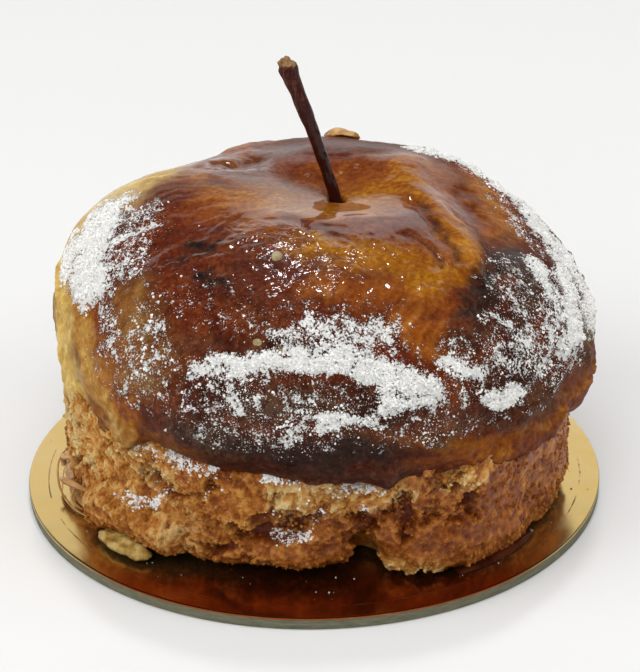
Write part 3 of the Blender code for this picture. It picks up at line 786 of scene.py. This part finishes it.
crust = {
    # the wall starts and is full at these shares of the half width, its rim at these heights
    "voxel": 0.66, "smoothing": 4, "wallStarts": 0.84, "wallFull": 0.92, "rim": (15.2, 19),
    "lump": 0.5, "lumpSize": 8, "warpSize": 3.5, "warp": 0.7,
    # the skin of the wall is torn away in ragged hollows, some of them deep
    "tearSize": 6.5, "tearStarts": 0.28, "tearDepth": 0.85, "tearEdge": 0.12,
    "deepStarts": 0.62, "deepDepth": 1.2, "deepEdge": 0.16,
    # broken crumbs: (size in mm, height in mm, seed)
    "blocks": [(1.8, 0.34, 82), (0.95, 0.34, 83)],
    "rough": 0.16, "roughSize": 0.9,
    # how far the rim stands out, and how ragged its edge is
    "lip": 0.8, "lipSize": 4, "ragged": 0.75, "raggedSize": 5,
    # where it tears more: (path of (bearing, mm above the table), reach in mm, strength)
    "tears": [
        ([(-16, 9.4), (-9, 10.2), (-3, 11.2), (0, 13)], 1.6, 1.0),
        ([(7, 12.6), (11, 11.5), (12, 10.5)], 1.1, 0.9),
        ([(18, 15), (19, 11.6), (18, 9)], 1.3, 0.9), ([(31, 15.5), (33, 11.6), (36, 10)], 1.6, 0.95),
        ([(28, 16.5), (34, 16.8)], 1.4, 0.8),
        ([(47, 13), (49, 11)], 2.0, 1.0), ([(41, 4.8), (45, 4.2)], 1.6, 1.0),
        ([(-50, 15.2), (-42, 15.2), (-35, 14.4)], 2.0, 0.8),
        ([(-44, 13.4)], 1.2, 1.0), ([(-30, 6), (-18, 7.5)], 1.3, 0.7), ([(-70, 9), (-62, 11)], 1.8, 0.8),
        ([(100, 8), (118, 11)], 2.0, 0.9), ([(150, 12), (172, 9)], 2, 0.9),
        ([(-140, 7), (-120, 10)], 2, 0.8),
        ([(-100, 12), (-94, 8)], 1.8, 0.8),
    ],
    "whole": [
        ([(-56, 8), (-42, 8), (-28, 8.5)], 4.5, 1.0), ([(2, 15), (13, 15)], 2.2, 1.0),
        ([(20, 6), (60, 9)], 5, 0.5),
    ],
    # where the crumb is coarse and golden, and where melted apple has smoothed it
    "coarse": [
        ([(-110, 15), (-62, 16)], 9, 1), ([(-56, 17), (-38, 17)], 5, 1),
        ([(-66, 12), (-50, 11)], 6, 0.7), ([(-44, 9), (-28, 9)], 5, 0.4),
        ([(27, 18), (33, 19), (40, 21)], 2.6, 0.9), ([(58, 20), (66, 22), (78, 20)], 2, 0.5),
        ([(-8, 16.5), (16, 16.5)], 3.6, 0.8), ([(-6, 12), (-1, 14)], 3, 0.5),
        ([(15, 3.5), (24, 3)], 2.4, 0.8), ([(150, 15), (180, 15)], 6, 0.8),
        ([(-180, 15), (-150, 15)], 6, 0.8),
    ],
    "melted": [
        ([(40, 19), (60, 17), (80, 16), (112, 18)], 6, 1), ([(44, 11), (60, 9), (90, 9)], 7, 0.6),
        ([(-36, 20), (-10, 20)], 2, 0.5),
    ],
    # where sugar lies and where butter and caramel soaked in, the same way
    "sugar": [
        ([(-49, 10.2), (-44, 10.0), (-40, 10.8), (-36, 13)], 1.3, 0.75),
        ([(-46, 18.4), (-38, 18.6), (-31, 19.2), (-23, 19.6)], 1.2, 0.85),
        ([(-12, 19), (-6, 19), (-1, 18)], 1.2, 0.75), ([(-1, 15.6), (0, 13.4), (-1, 11.6)], 1.3, 0.6),
        ([(-10, 9.8), (-6, 9.6), (-3, 10)], 0.8, 0.75), ([(2, 17.0), (7, 17.0), (13, 16.6)], 1.0, 0.75),
        ([(10, 13.2)], 1.4, 0.5), ([(-40, 15), (0, 16)], 6, 0.1), ([(-100, 19), (-84, 19)], 2.5, 0.7),
        ([(150, 19), (176, 19)], 2, 0.8),
    ],
    "soaked": [
        ([(22, 6), (40, 10), (75, 11), (110, 10)], 19, 1.4), ([(42, 18), (70, 17), (95, 14)], 9, 1),
        ([(6, 12), (20, 10)], 7, 0.6),
        ([(-18, 3), (-4, 8), (10, 5), (30, 3)], 8, 0.9), ([(-2, 10), (14, 10)], 5, 0.6),
        ([(-24, 9), (-12, 9)], 5, 0.5), ([(-80, 2.5), (-30, 2.5)], 4, 0.4),
        ([(-30, 21), (20, 21)], 3, 0.8),
        ([(180, 4), (140, 6)], 6, 0.6), ([(-170, 4), (-120, 5)], 5, 0.5),
    ],
    # where crumbs climb over the apple's edge: (path, reach in mm, mm upward)
    "overlap": [
        ([(-130, 20), (-70, 20)], 8, 2.8), ([(-66, 20), (-40, 20)], 8, 2.0),
        ([(-34, 20), (-4, 20)], 8, 1.3), ([(-2, 20), (14, 20)], 6, 0.3),
        ([(25, 20), (40, 20)], 8, 4.0), ([(44, 20), (66, 20)], 8, 3.0), ([(74, 20), (120, 20)], 8, 3.4),
        ([(130, 20), (178, 20)], 8, 2.0),
        ([(-178, 20), (-134, 20)], 8, 2.4),
    ],
    # where the wall swells out: (path, reach in mm, mm outward)
    "bulges": [
        ([(-54, 5.5), (-38, 5.5)], 5, 3.1), ([(22, 8), (36, 8)], 6, 0.4), ([(24, 18), (46, 19)], 5, 0.9),
    ],
}


def inWall(middle):
    # the faces that show: not the bed under the apple, nor the flat underside
    out = math.hypot(middle.x - crustMiddle[0], middle.y - crustMiddle[1])
    return out > crust["wallStarts"] * crustHalf[0] and middle.z > crustMiddle[2] - crustHalf[2] + 0.15


crustMesh = fineCopy("crust", crust["voxel"], crust["smoothing"], inWall)
crustPiece = addPiece("crumbly_crust", crustMesh, crustSkin)
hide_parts("crust")
points, normals = readMesh(crustPiece)
outward = (points - crustMiddle) * (1, 1, 0)
reachOut = np.linalg.norm(outward, axis=1)
outward /= np.maximum(reachOut, 1)[:, None]
wall = eased(crust["wallStarts"], crust["wallFull"], reachOut / crustHalf[0])
rimBand = eased(*crust["rim"], points[:, 2])
warp = np.stack([fractal(points, crust["warpSize"], seed, 3) for seed in (71, 72)], 1)
unrolled = onCrust(points) + crust["warp"] * warp
lip = crust["lip"] * rimBand * (0.6 + 0.6 * fractal(points, crust["lipSize"], 87, 3))
lip += crustPatches(unrolled, crust["bulges"])
ragged = 0.9 + crust["ragged"] * fractal(points, crust["raggedSize"], 88, 4)
points = points + outward * (lip * wall)[:, None]
points[:, 2] += crustPatches(unrolled, crust["overlap"]) * np.maximum(ragged, 0) * rimBand * wall
writePoints(crustPiece, points)
points, normals = readMesh(crustPiece)
warp = np.stack([fractal(points, crust["warpSize"], seed, 3) for seed in (71, 72, 73)], 1)
unrolled = onCrust(points) + warp[:, :2] * crust["warp"]
soakedMask = crustPatches(unrolled, crust["soaked"])
coarse = crustPatches(unrolled, crust["coarse"])
melted = crustPatches(unrolled, crust["melted"])
shown = wall > 0
crumbs = np.zeros(len(points))
for size, tall, seed in crust["blocks"]:
    level = np.zeros(len(points))
    level[shown], joint = blocksAt((points + warp * size * 0.2)[shown], size, seed)
    level[shown] -= 0.35 * eased(0.4, 1, joint)
    crumbs += tall * level
tear = fractal(points * (1, 1, 1.3) + warp * 0.4, crust["tearSize"], 84, 5) + 0.12 * crumbs
tear += crustPatches(unrolled, crust["tears"]) * 0.75 - melted * 0.5
tear -= crustPatches(unrolled, crust["whole"]) * 0.5
torn = eased(crust["tearStarts"], crust["tearStarts"] + crust["tearEdge"], tear)
deep = eased(crust["deepStarts"], crust["deepStarts"] + crust["deepEdge"], tear)
brink = eased(0.02, 0.2, tear) * (1 - torn)
roughness = fractal(points, crust["roughSize"], 85, 2)
rise = crust["lump"] * fractal(points, crust["lumpSize"], 86, 2) + 0.3
rise += crumbs * (0.35 + 0.9 * coarse + 0.5 * torn) * (1 - 0.7 * melted)
rise += crust["rough"] * roughness * (1 - 0.6 * melted)
rise -= crust["tearDepth"] * torn + crust["deepDepth"] * deep - 0.15 * brink
writePoints(crustPiece, points + normals * (rise * wall)[:, None])
# painted shade: the colour is darkened in torn hollows and in the low joints between crumbs
shadeInHollows = torn * 0.5 + deep * 0.45 + np.clip(-crumbs * 1.6 - 0.1, 0, 0.4)
paint(crustPiece, "crevice_shade", np.clip(shadeInHollows, 0, 0.95))
# painted highlight: raised crumbs and the brinks of tears are painted lighter
paint(crustPiece, "raised", np.clip(0.42 + crumbs * 0.9 + 0.25 * roughness + 0.35 * brink, 0, 1))
paint(crustPiece, "coarse", np.clip(coarse * (0.8 + 0.4 * fractal(points, 3, 92, 3)), 0, 1))
paint(crustPiece, "soaked", np.clip(soakedMask + 0.3 * fractal(points, 5, 89, 3), 0, 1))
facingUp = eased(-0.1, 0.4, normals[:, 2] + 0.3 * fractal(points, 1.5, 90, 2))
crustFall = crustPatches(unrolled, crust["sugar"]) * (0.4 + 0.6 * facingUp) * wall
crustFall *= 1 + 0.5 * fractal(points, 2.5, 93, 3)
paint(crustPiece, "sugar", np.clip(crustFall, 0, 1))
paint(crustPiece, "crumbly", wall * np.clip(0.3 + 0.5 * fractal(points, 5, 91, 3) + 0.3 * coarse, 0, 1))
print("crust shaped")


# the stalk

stalk = {
    "voxel": 0.11, "smoothing": 10,
    "bark": 0.16, "furrow": 0.09, "furrowSize": 0.7, "knot": 0.1, "knotSize": 2.5,
    # where its snapped top starts, as a share of its height, and how ragged that is
    "snapStarts": 0.94, "snapDepth": 0.45, "splinterSize": 0.6,
}
stalkLow, stalkHigh = [np.array(v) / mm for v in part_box("stalk")]
stalkMesh = fineCopy("stalk", stalk["voxel"], stalk["smoothing"])
stalkPiece = addPiece("stalk_bark", stalkMesh, barkSkin)
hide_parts("stalk")
points, normals = readMesh(stalkPiece)
along = (points[:, 2] - stalkLow[2]) / (stalkHigh[2] - stalkLow[2])
# furrows follow the stalk: the noise is squeezed along its length
lean = (stalkLow[0] - stalkHigh[0]) * 0.8
straight = points.copy()
straight[:, 0] -= lean * along
straight[:, 2] *= 0.12
rise = stalk["furrow"] * fractal(straight, stalk["furrowSize"], 91, 3)
rise += stalk["knot"] * fractal(points, stalk["knotSize"], 92, 2)
snapped = eased(stalk["snapStarts"], stalk["snapStarts"] + 0.025, along + 0.012 * fractal(points, 0.8, 93, 2))
rise += stalk["bark"] * (1 - eased(0.6, 0.9, along))
rise += snapped * stalk["snapDepth"] * fractal(points * (1, 1, 0.3), stalk["splinterSize"], 94, 2)
writePoints(stalkPiece, points + normals * rise[:, None])
paint(stalkPiece, "snapped", snapped)
paint(stalkPiece, "sticky", 1 - eased(0.3, 0.98, along + 0.05 * fractal(points, 2, 95, 2)))
print("stalk shaped")


# the pale bits of flesh

fleshBits = {
    "swell": 0.3, "swellSize": 3.0, "grain": 0.06, "grainSize": 0.8,
    # the sliver is squashed where the crust's foot presses on it: shares of height and width
    "pressedLow": 0.6, "pressedNarrow": 0.35,
}
for node, pieceName, voxel, skin in (
    ("apple_sliver", "squeezed_flesh", 0.14, creamFlesh),
    ("apple_scrap", "shoulder_scrap", 0.12, toastedFlesh),
):
    mesh = fineCopy(node, voxel, 6)
    piece = addPiece(pieceName, mesh, skin)
    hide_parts(node)
    points, normals = readMesh(piece)
    rise = fleshBits["swell"] * fractal(points, fleshBits["swellSize"], 101, 2)
    rise += fleshBits["grain"] * fractal(points, fleshBits["grainSize"], 102, 2)
    if node == "apple_sliver":
        lowest = points[:, 2].min()
        points[:, 2] = lowest + (points[:, 2] - lowest) * fleshBits["pressedLow"]
        away = (points.mean(0) - crustMiddle) * (1, 1, 0)
        away /= np.linalg.norm(away)
        reach = points @ away
        points += away * ((reach.max() - reach) * fleshBits["pressedNarrow"])[:, None]
    writePoints(piece, points + normals * rise[:, None])
print("flesh bits shaped")


# the card

card = {"sides": 256, "foil": 0.12, "tuck": 0.22}
cardLow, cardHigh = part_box("card")
cardRadius = (cardHigh.x - cardLow.x) / 2 / mm
cardThick = (cardHigh.z - cardLow.z) / mm


def turned(outline, sides):
    # a closed shape turned about Z from (radius, height) points in mm. They run from the axis
    # out along the bottom and back to it along the top, so that its faces point outwards
    bm = bmesh.new()
    angles = [math.tau * i / sides for i in range(sides)]
    rings = [[bm.verts.new((r * mm * math.cos(a), r * mm * math.sin(a), z * mm))
              for a in (angles if r > 0 else angles[:1])] for r, z in outline]
    for low, high in zip(rings, rings[1:]):
        for i in range(sides):
            j = (i + 1) % sides
            corners = [ring[k % len(ring)] for ring, k in ((low, i), (low, j), (high, j), (high, i))]
            # a corner on the axis counts once
            bm.faces.new(list(dict.fromkeys(corners)))
    mesh = bpy.data.meshes.new("turned")
    bm.to_mesh(mesh)
    bm.free()
    mesh.shade_smooth()
    mesh.set_sharp_from_angle(angle=math.radians(35))
    return mesh


# the foil lies on the board and is tucked over its edge
foilLow = cardThick - card["foil"]
boardRadius = cardRadius - 0.05
boardMesh = turned([
    (0, 0), (boardRadius - 0.3, 0), (boardRadius - 0.05, 0.12), (boardRadius, 0.4),
    (boardRadius, foilLow - 0.35), (boardRadius - 0.08, foilLow - 0.02), (0, foilLow - 0.02),
], card["sides"])
boardPiece = addPiece("card_board", boardMesh, boardSkin)
foilMesh = turned([
    (0, foilLow), (boardRadius - 0.04, foilLow), (cardRadius - 0.01, foilLow - card["tuck"]),
    (cardRadius, foilLow - card["tuck"] + 0.05), (cardRadius - 0.02, cardThick - 0.12),
    (cardRadius - 0.14, cardThick - 0.02), (cardRadius - 0.35, cardThick), (0, cardThick),
], card["sides"])
foilPiece = addPiece("card_foil", foilMesh, foilSkin)
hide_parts("card")
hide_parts("card")
print("card made")


# caramel that ran onto the card

caramel = {
    # along the crust's foot: (bearing, mm it reaches out, its height in mm)
    "runs": {
        "caramel_run_right": [
            (29, 0.05, 0.2), (33, 0.2, 0.5), (38, 0.35, 0.7),
            (43, 0.4, 0.8), (48, 0.3, 0.7), (53, 0.05, 0.3)],
        "caramel_run_left": [
            (-98, 0.1, 0.3), (-90, 0.7, 0.6), (-82, 1.0, 0.8), (-74, 0.6, 0.6), (-66, 0.1, 0.3)],
        "caramel_run_back": [
            (150, 0.1, 0.3), (165, 1.6, 1.0), (182, 2.2, 1.1), (200, 1.0, 0.7), (212, 0.1, 0.3)],
    },
    # mm that it goes in under the crust, and degrees between its sections
    "inner": 4.0, "stepDegrees": 1.5,
    # threads: (bearing, mm out from the foot, mm above the card) from end to end, and its radius
    "threads": [
        ([(-80, -0.5, 6.2), (-79, 1.2, 6.0), (-77, 2.4, 4.4), (-74, 2.6, 2.4),
          (-70, 2.4, 1.0), (-65, 1.8, 0.4), (-61, 0, 0.3)], 0.16),
        ([(-78, -0.5, 5.0), (-76, 1.2, 4.6), (-74, 1.8, 3.0), (-72, 2.2, 1.6)], 0.1),
        ([(-71, -0.5, 2.6), (-69, 1.4, 2.2), (-67, 1.9, 1.0), (-65, 0.6, 0.4)], 0.2),
        ([(-73, -0.8, 6.6), (-76, 0.9, 5.9), (-79, 1.5, 4.6), (-78, 1.4, 3.4)], 0.6),
        ([(-66, -0.6, 3.0), (-70, 0.9, 3.2), (-74, 1.7, 2.6), (-77, 1.9, 1.6)], 0.6),
    ],
}
crustPoints, _ = readMesh(crustPiece)
footPoints = crustPoints[(crustPoints[:, 2] > cardTop + 0.4) & (crustPoints[:, 2] < cardTop + 2.2)]
footAway = footPoints - crustMiddle
footBearing = np.degrees(np.arctan2(footAway[:, 0], -footAway[:, 1]))
footReach = np.hypot(footAway[:, 0], footAway[:, 1])


def foot(bearing):
    # how far the crust's foot reaches out there, in mm
    apart = np.abs((footBearing - bearing + 180) % 360 - 180)
    return np.percentile(footReach[apart < 3], 95)


def besideFoot(bearing, out, up):
    b, reach = math.radians(bearing), foot(bearing) + out
    x, y = crustMiddle[0] + reach * math.sin(b), crustMiddle[1] - reach * math.cos(b)
    return Vector((x, y, cardTop + up)) * mm


def caramelRun(name, route):
    # a bead that hugs the foot: its section slides along the route and shrinks at both ends
    bearings, outs, heights = [np.array(column, float) for column in zip(*route)]
    steps = int((bearings[-1] - bearings[0]) / caramel["stepDegrees"])
    bm = bmesh.new()
    rows = []
    for i in range(steps + 1):
        bearing = bearings[0] + (bearings[-1] - bearings[0]) * i / steps
        out = np.interp(bearing, bearings, outs) * (1 + 0.15 * math.sin(bearing * 0.9))
        high = np.interp(bearing, bearings, heights)
        section = [(-caramel["inner"], 0.02), (out, 0.02), (out + 0.06, 0.1), (out * 0.85, high * 0.45),
                   (out * 0.5, high * 0.8), (0, high), (-caramel["inner"], high)]
        rows.append([bm.verts.new(besideFoot(bearing, x, z)) for x, z in section])
    count = len(rows[0])
    for low, high in zip(rows, rows[1:]):
        for j in range(count):
            bm.faces.new((low[j], low[(j + 1) % count], high[(j + 1) % count], high[j]))
    bm.faces.new(rows[0])
    bm.faces.new(reversed(rows[-1]))
    bmesh.ops.smooth_vert(bm, verts=[v for row in rows for v in row[2:6]], factor=0.4,
                          use_axis_x=True, use_axis_y=True, use_axis_z=True)
    bmesh.ops.recalc_face_normals(bm, faces=bm.faces)
    mesh = bpy.data.meshes.new(name)
    bm.to_mesh(mesh)
    bm.free()
    mesh.shade_smooth()
    addPiece(name, mesh, filmSkin if name.endswith("left") else caramelSkin)


for name, route in caramel["runs"].items():
    caramelRun(name, route)

for number, (route, radius) in enumerate(caramel["threads"], 1):
    curve = bpy.data.curves.new("thread", "CURVE")
    curve.dimensions = "3D"
    curve.bevel_depth = radius * mm
    curve.bevel_resolution = 3
    curve.use_fill_caps = True
    spline = curve.splines.new("NURBS")
    spline.points.add(len(route) - 1)
    for i, (point, place) in enumerate(zip(spline.points, route)):
        point.co = (*besideFoot(*place), 1)
        point.radius = 1.2 - 0.6 * abs(2 * i / (len(route) - 1) - 1)
    spline.use_endpoint_u = True
    spline.order_u = 3
    thread = bpy.data.objects.new("thread", curve)
    scene.collection.objects.link(thread)
    mesh = bakedMesh(thread)
    bpy.data.objects.remove(thread)
    mesh.shade_smooth()
    addPiece(f"caramel_thread_{number}", mesh, filmSkin)
print("caramel made")


# icing sugar and crumbs, scattered

def clump(name, radius, corners, seed):
    # an irregular little lump: the hull of a few random points
    rng = random.Random(seed)
    bm = bmesh.new()
    for _ in range(corners):
        spot = Vector([rng.gauss(0, 1) for _ in range(3)]).normalized()
        bm.verts.new(spot * radius * mm * rng.uniform(0.65, 1))
    bmesh.ops.convex_hull(bm, input=bm.verts)
    bmesh.ops.delete(bm, geom=[v for v in bm.verts if not v.link_faces], context="VERTS")
    mesh = bpy.data.meshes.new(name)
    bm.to_mesh(mesh)
    bm.free()
    piece = bpy.data.objects.new(name, mesh)
    scene.collection.objects.link(piece)
    return piece


def scatterTree():
    # points on a surface, as many as the painted density asks for, each with a turned clump
    tree = bpy.data.node_groups.new("Scatter", "GeometryNodeTree")
    wanted = {
        "Surface": "Geometry", "Clump": "Object", "Material": "Material", "Density painted as": "String",
        "Per square metre": "Float", "Bare below": "Float", "Smallest": "Float", "Largest": "Float",
        "Patch size": "Float", "Patchiness": "Float", "Seed": "Int",
    }
    for name, kind in wanted.items():
        tree.interface.new_socket(name, in_out="INPUT", socket_type="NodeSocket" + kind)
    tree.interface.new_socket("Clumps", in_out="OUTPUT", socket_type="NodeSocketGeometry")
    given = addNode(tree, "NodeGroupInput").outputs
    place = addNode(tree, "GeometryNodeInputPosition")
    fall = addNode(tree, "GeometryNodeInputNamedAttribute", {
        "Name": given["Density painted as"]}, data_type="FLOAT").outputs["Attribute"]
    near = addNode(tree, "Math", {0: 1.0, 1: given["Patch size"]}, operation="DIVIDE")
    noise = addNode(tree, "TexNoise", {"Vector": place, "Scale": near, "Detail": 3.0, "Roughness": 0.6})
    around = addNode(tree, "Math", {0: noise, 1: 0.5}, operation="SUBTRACT")
    uneven = addNode(tree, "Math", {0: around, 1: given["Patchiness"]}, operation="MULTIPLY")
    dense = addNode(tree, "Math", {0: fall, 1: uneven}, operation="ADD")
    dense = addNode(tree, "Math", {0: dense, 1: given["Bare below"]}, operation="SUBTRACT")
    dense = addNode(tree, "Math", {0: dense, 1: 0.0}, operation="MAXIMUM")
    some = addNode(tree, "Math", {0: fall, 1: 0.03}, operation="GREATER_THAN")
    dense = addNode(tree, "Math", {0: dense, 1: some}, operation="MULTIPLY")
    dense = addNode(tree, "Math", {0: dense, 1: given["Per square metre"]}, operation="MULTIPLY")
    spread = addNode(tree, "GeometryNodeDistributePointsOnFaces", {
        "Mesh": given["Surface"], "Density": dense, "Seed": given["Seed"]})
    shape = addNode(tree, "GeometryNodeObjectInfo", {"Object": given["Clump"]}).outputs["Geometry"]
    turn = addNode(tree, "FunctionNodeRandomValue", {
        "Max": (math.tau, math.tau, math.tau), "Seed": given["Seed"]}, data_type="FLOAT_VECTOR")
    size = addNode(tree, "FunctionNodeRandomValue", {
        2: given["Smallest"], 3: given["Largest"], "Seed": given["Seed"]}, data_type="FLOAT")
    placed = addNode(tree, "GeometryNodeInstanceOnPoints", {
        "Points": spread, "Instance": shape, "Rotation": turn, "Scale": size.outputs[1]})
    real = addNode(tree, "GeometryNodeRealizeInstances", {"Geometry": placed})
    skinned = addNode(tree, "GeometryNodeSetMaterial", {"Geometry": real, "Material": given["Material"]})
    addNode(tree, "NodeGroupOutput", {0: skinned})
    return tree


def scatter(name, surface, tree, material, values, keep=()):
    # runs the tree on a copy of the surface and keeps the result as a plain mesh
    carrier = bpy.data.objects.new(name, surface.data)
    scene.collection.objects.link(carrier)
    modifier = carrier.modifiers.new("Scatter", "NODES")
    modifier.node_group = tree
    sockets = {item.name: item.identifier for item in tree.interface.items_tree if item.in_out == "INPUT"}
    for key, value in {**values, "Material": material}.items():
        modifier[sockets[key]] = value
    mesh = bakedMesh(carrier)
    bpy.data.objects.remove(carrier)
    for layer in [layer.name for layer in mesh.attributes if layer.data_type == "FLOAT"]:
        if layer not in keep:
            mesh.attributes.remove(mesh.attributes[layer])
    print(name, len(mesh.polygons), "faces")
    return addPiece(name, mesh, material)


# bits: radius in mm, corners, seed of the shape, and how far it is scaled
bits = {
    "sugarClump": (0.36, 12, 5, 0.3, 1.0),
    "sugarGrain": (0.13, 6, 6, 0.5, 1.3),
    "pastryCrumb": (0.5, 10, 7, 0.25, 1.0),
}
# scattered: bit, surface, painted density, bits per square metre where it is full, density
# below which it stays bare, patch size in mm, patchiness, seed
scattered = {
    "sugar_clumps": ("sugarClump", applePiece, "sugar", 1.3e7, 0.44, 1.8, 2.3, 1),
    "sugar_grains": ("sugarGrain", applePiece, "sugar", 2.5e7, 0.22, 1.2, 1.6, 2),
    "sugar_clumps_crust": ("sugarClump", crustPiece, "sugar", 2.2e7, 0.28, 1.2, 2.0, 3),
    "sugar_grains_crust": ("sugarGrain", crustPiece, "sugar", 2.6e7, 0.2, 1.0, 1.6, 4),
    "pastry_crumbs": ("pastryCrumb", crustPiece, "crumbly", 4.4e6, 0.05, 3, 1.2, 5),
}
shapes = {name: clump(name, *bit[:3]) for name, bit in bits.items()}
scattering = scatterTree()
for name, (bit, surface, painted, number, bare, patchSize, patchiness, seed) in scattered.items():
    isSugar = painted == "sugar"
    scatter(
        name, surface, scattering, sugarWhite if isSugar else crustSkin,
        {"Clump": shapes[bit], "Smallest": bits[bit][3], "Largest": bits[bit][4],
         "Density painted as": painted, "Per square metre": number, "Bare below": bare,
         "Patch size": patchSize * mm, "Patchiness": patchiness, "Seed": seed},
        () if isSugar else ("soaked", "raised", "coarse"))


def strewn(name, shape, material, places):
    # copies of one clump at (x, y, z, size) in mm, each turned its own way
    rng = random.Random(len(places))
    bm = bmesh.new()
    for x, y, z, size in places:
        angle = rng.uniform(0, math.tau)
        turn = Matrix.Rotation(angle, 4, Vector([rng.gauss(0, 1) for _ in range(3)]).normalized())
        copy = shape.data.copy()
        copy.transform(Matrix.Translation(Vector((x, y, z)) * mm) @ turn @ Matrix.Scale(size, 4))
        bm.from_mesh(copy)
        bpy.data.meshes.remove(copy)
    mesh = bpy.data.meshes.new(name)
    bm.to_mesh(mesh)
    bm.free()
    return addPiece(name, mesh, material)


def cardPlaces(count, seed, smallest, largest):
    # spots on the bare ring of the card between the crust's foot and the rim
    rng = random.Random(seed)
    spots = []
    for _ in range(count):
        bearing = rng.uniform(-180, 180)
        inner = foot(bearing) + 0.4
        out = inner + (cardRadius - 1.2 - inner) * rng.random() ** 1.3
        b, size = math.radians(bearing), rng.uniform(smallest, largest)
        x, y = crustMiddle[0] + out * math.sin(b), crustMiddle[1] - out * math.cos(b)
        if math.hypot(x, y) < cardRadius - 0.8:
            spots.append((x, y, cardTop + 0.12 * size, size))
    return spots


strewn("sugar_on_card", shapes["sugarGrain"], sugarWhite, cardPlaces(45, 8, 0.5, 1.3))
strewn("crumbs_on_card", shapes["pastryCrumb"], crustSkin, cardPlaces(26, 9, 0.15, 0.5))
for shape in shapes.values():
    bpy.data.objects.remove(shape)
print("sugar and crumbs laid")


# floor, light and camera

studio = {
    "floor": "#e9e9e8", "floorSize": 4000,
    # how bright the wall behind and the rest of the room are, and where the wall fades out:
    # its depth, top and sides as shares of a direction's length
    "backWall": 1.0, "room": 0.04, "wallDepth": 0.4, "wallTop": (0.53, 0.64), "wallSides": (0.3, 0.7),
    # lights: watts, size and place in mm
    "fill": 9.7, "fillSize": 1200, "fillPlace": (0, -150, 1450),
    "front": 8.7, "frontSize": 1200, "frontPlace": (-200, -1250, 950),
    "left": 11.6, "leftSize": 1200, "leftPlace": (-1300, -350, 750),
    "right": 8.6, "rightSize": 1200, "rightPlace": (1300, -350, 750),
    "key": 4.2, "keySize": 150, "keyPlace": (60, 620, 1380),
}
floorMesh = bpy.data.meshes.new("floor")
half = studio["floorSize"] / 2 * mm
corners = [(-half, -half, 0), (half, -half, 0), (half, half, 0), (-half, half, 0)]
floorMesh.from_pydata(corners, [], [(0, 1, 2, 3)])
floorPiece = bpy.data.objects.new("floor", floorMesh)
scene.collection.objects.link(floorPiece)
floorMaterial, tree, shader, _ = newMaterial("Pale table")
feed(tree, shader, {"Base Color": linear(studio["floor"]), "Roughness": 0.9, "Specular IOR Level": 0.1})
floorMesh.materials.append(floorMaterial)

world = bpy.data.worlds.new("Studio")
scene.world = world
world.use_nodes = True
sky = world.node_tree
sky.nodes.clear()
# white wall behind the tart, up to half height; the rest of the room is dim
direction = addNode(sky, "TexCoord")
parts = addNode(sky, "SeparateXYZ", {0: direction}).outputs
behind = addNode(sky, "MapRange", {0: parts["Y"], 1: 0.0, 2: studio["wallDepth"]}, **smooth)
top, sides = studio["wallTop"], studio["wallSides"]
low = addNode(sky, "MapRange", {0: parts["Z"], 1: top[0], 2: top[1], 3: 1, 4: 0}, **smooth)
aside = addNode(sky, "Math", {0: parts["X"]}, operation="ABSOLUTE")
middle = addNode(sky, "MapRange", {0: aside, 1: sides[0], 2: sides[1], 3: 1, 4: 0.15}, **smooth)
wall = blend(sky, (blend(sky, (behind, low)), middle))
level = addNode(sky, "MapRange", {0: wall, 3: studio["room"], 4: studio["backWall"]}, **smooth)
light = addNode(sky, "Background", {"Color": (1, 0.995, 0.985, 1), "Strength": level})
addNode(sky, "OutputWorld", {"Surface": light})


def softLight(name, watts, size, place):
    lamp = bpy.data.lights.new(name, "AREA")
    lamp.energy = watts
    lamp.size = size * mm
    holder = bpy.data.objects.new(name, lamp)
    scene.collection.objects.link(holder)
    holder.location = Vector(place) * mm
    holder.rotation_euler = (Vector((0, 0, 25 * mm)) - holder.location).to_track_quat("-Z", "Y").to_euler()
    return holder


for name in ("fill", "front", "left", "right", "key"):
    lamp = softLight(name, studio[name], studio[name + "Size"], studio[name + "Place"])
    lamp.visible_glossy = name == "key"

# distance and aim in mm, angles in degrees
view = {"distance": 400, "elevation": 29.24, "aim": (1.17, 0, 24.78), "roll": -0.68, "lens": 134.6}
camera = bpy.data.objects.new("camera", bpy.data.cameras.new("camera"))
scene.collection.objects.link(camera)
camera.data.lens = view["lens"]
camera.data.sensor_width = 36
camera.data.clip_start = 0.01
rise = math.radians(view["elevation"])
camera.location = Vector((0, -view["distance"] * math.cos(rise), view["distance"] * math.sin(rise))) * mm
look = (Vector(view["aim"]) * mm - camera.location).to_track_quat("-Z", "Y")
camera.rotation_mode = "QUATERNION"
camera.rotation_quaternion = look @ Matrix.Rotation(math.radians(view["roll"]), 3, "Z").to_quaternion()
scene.camera = camera
scene.view_settings.view_transform = "Standard"
print("studio ready")
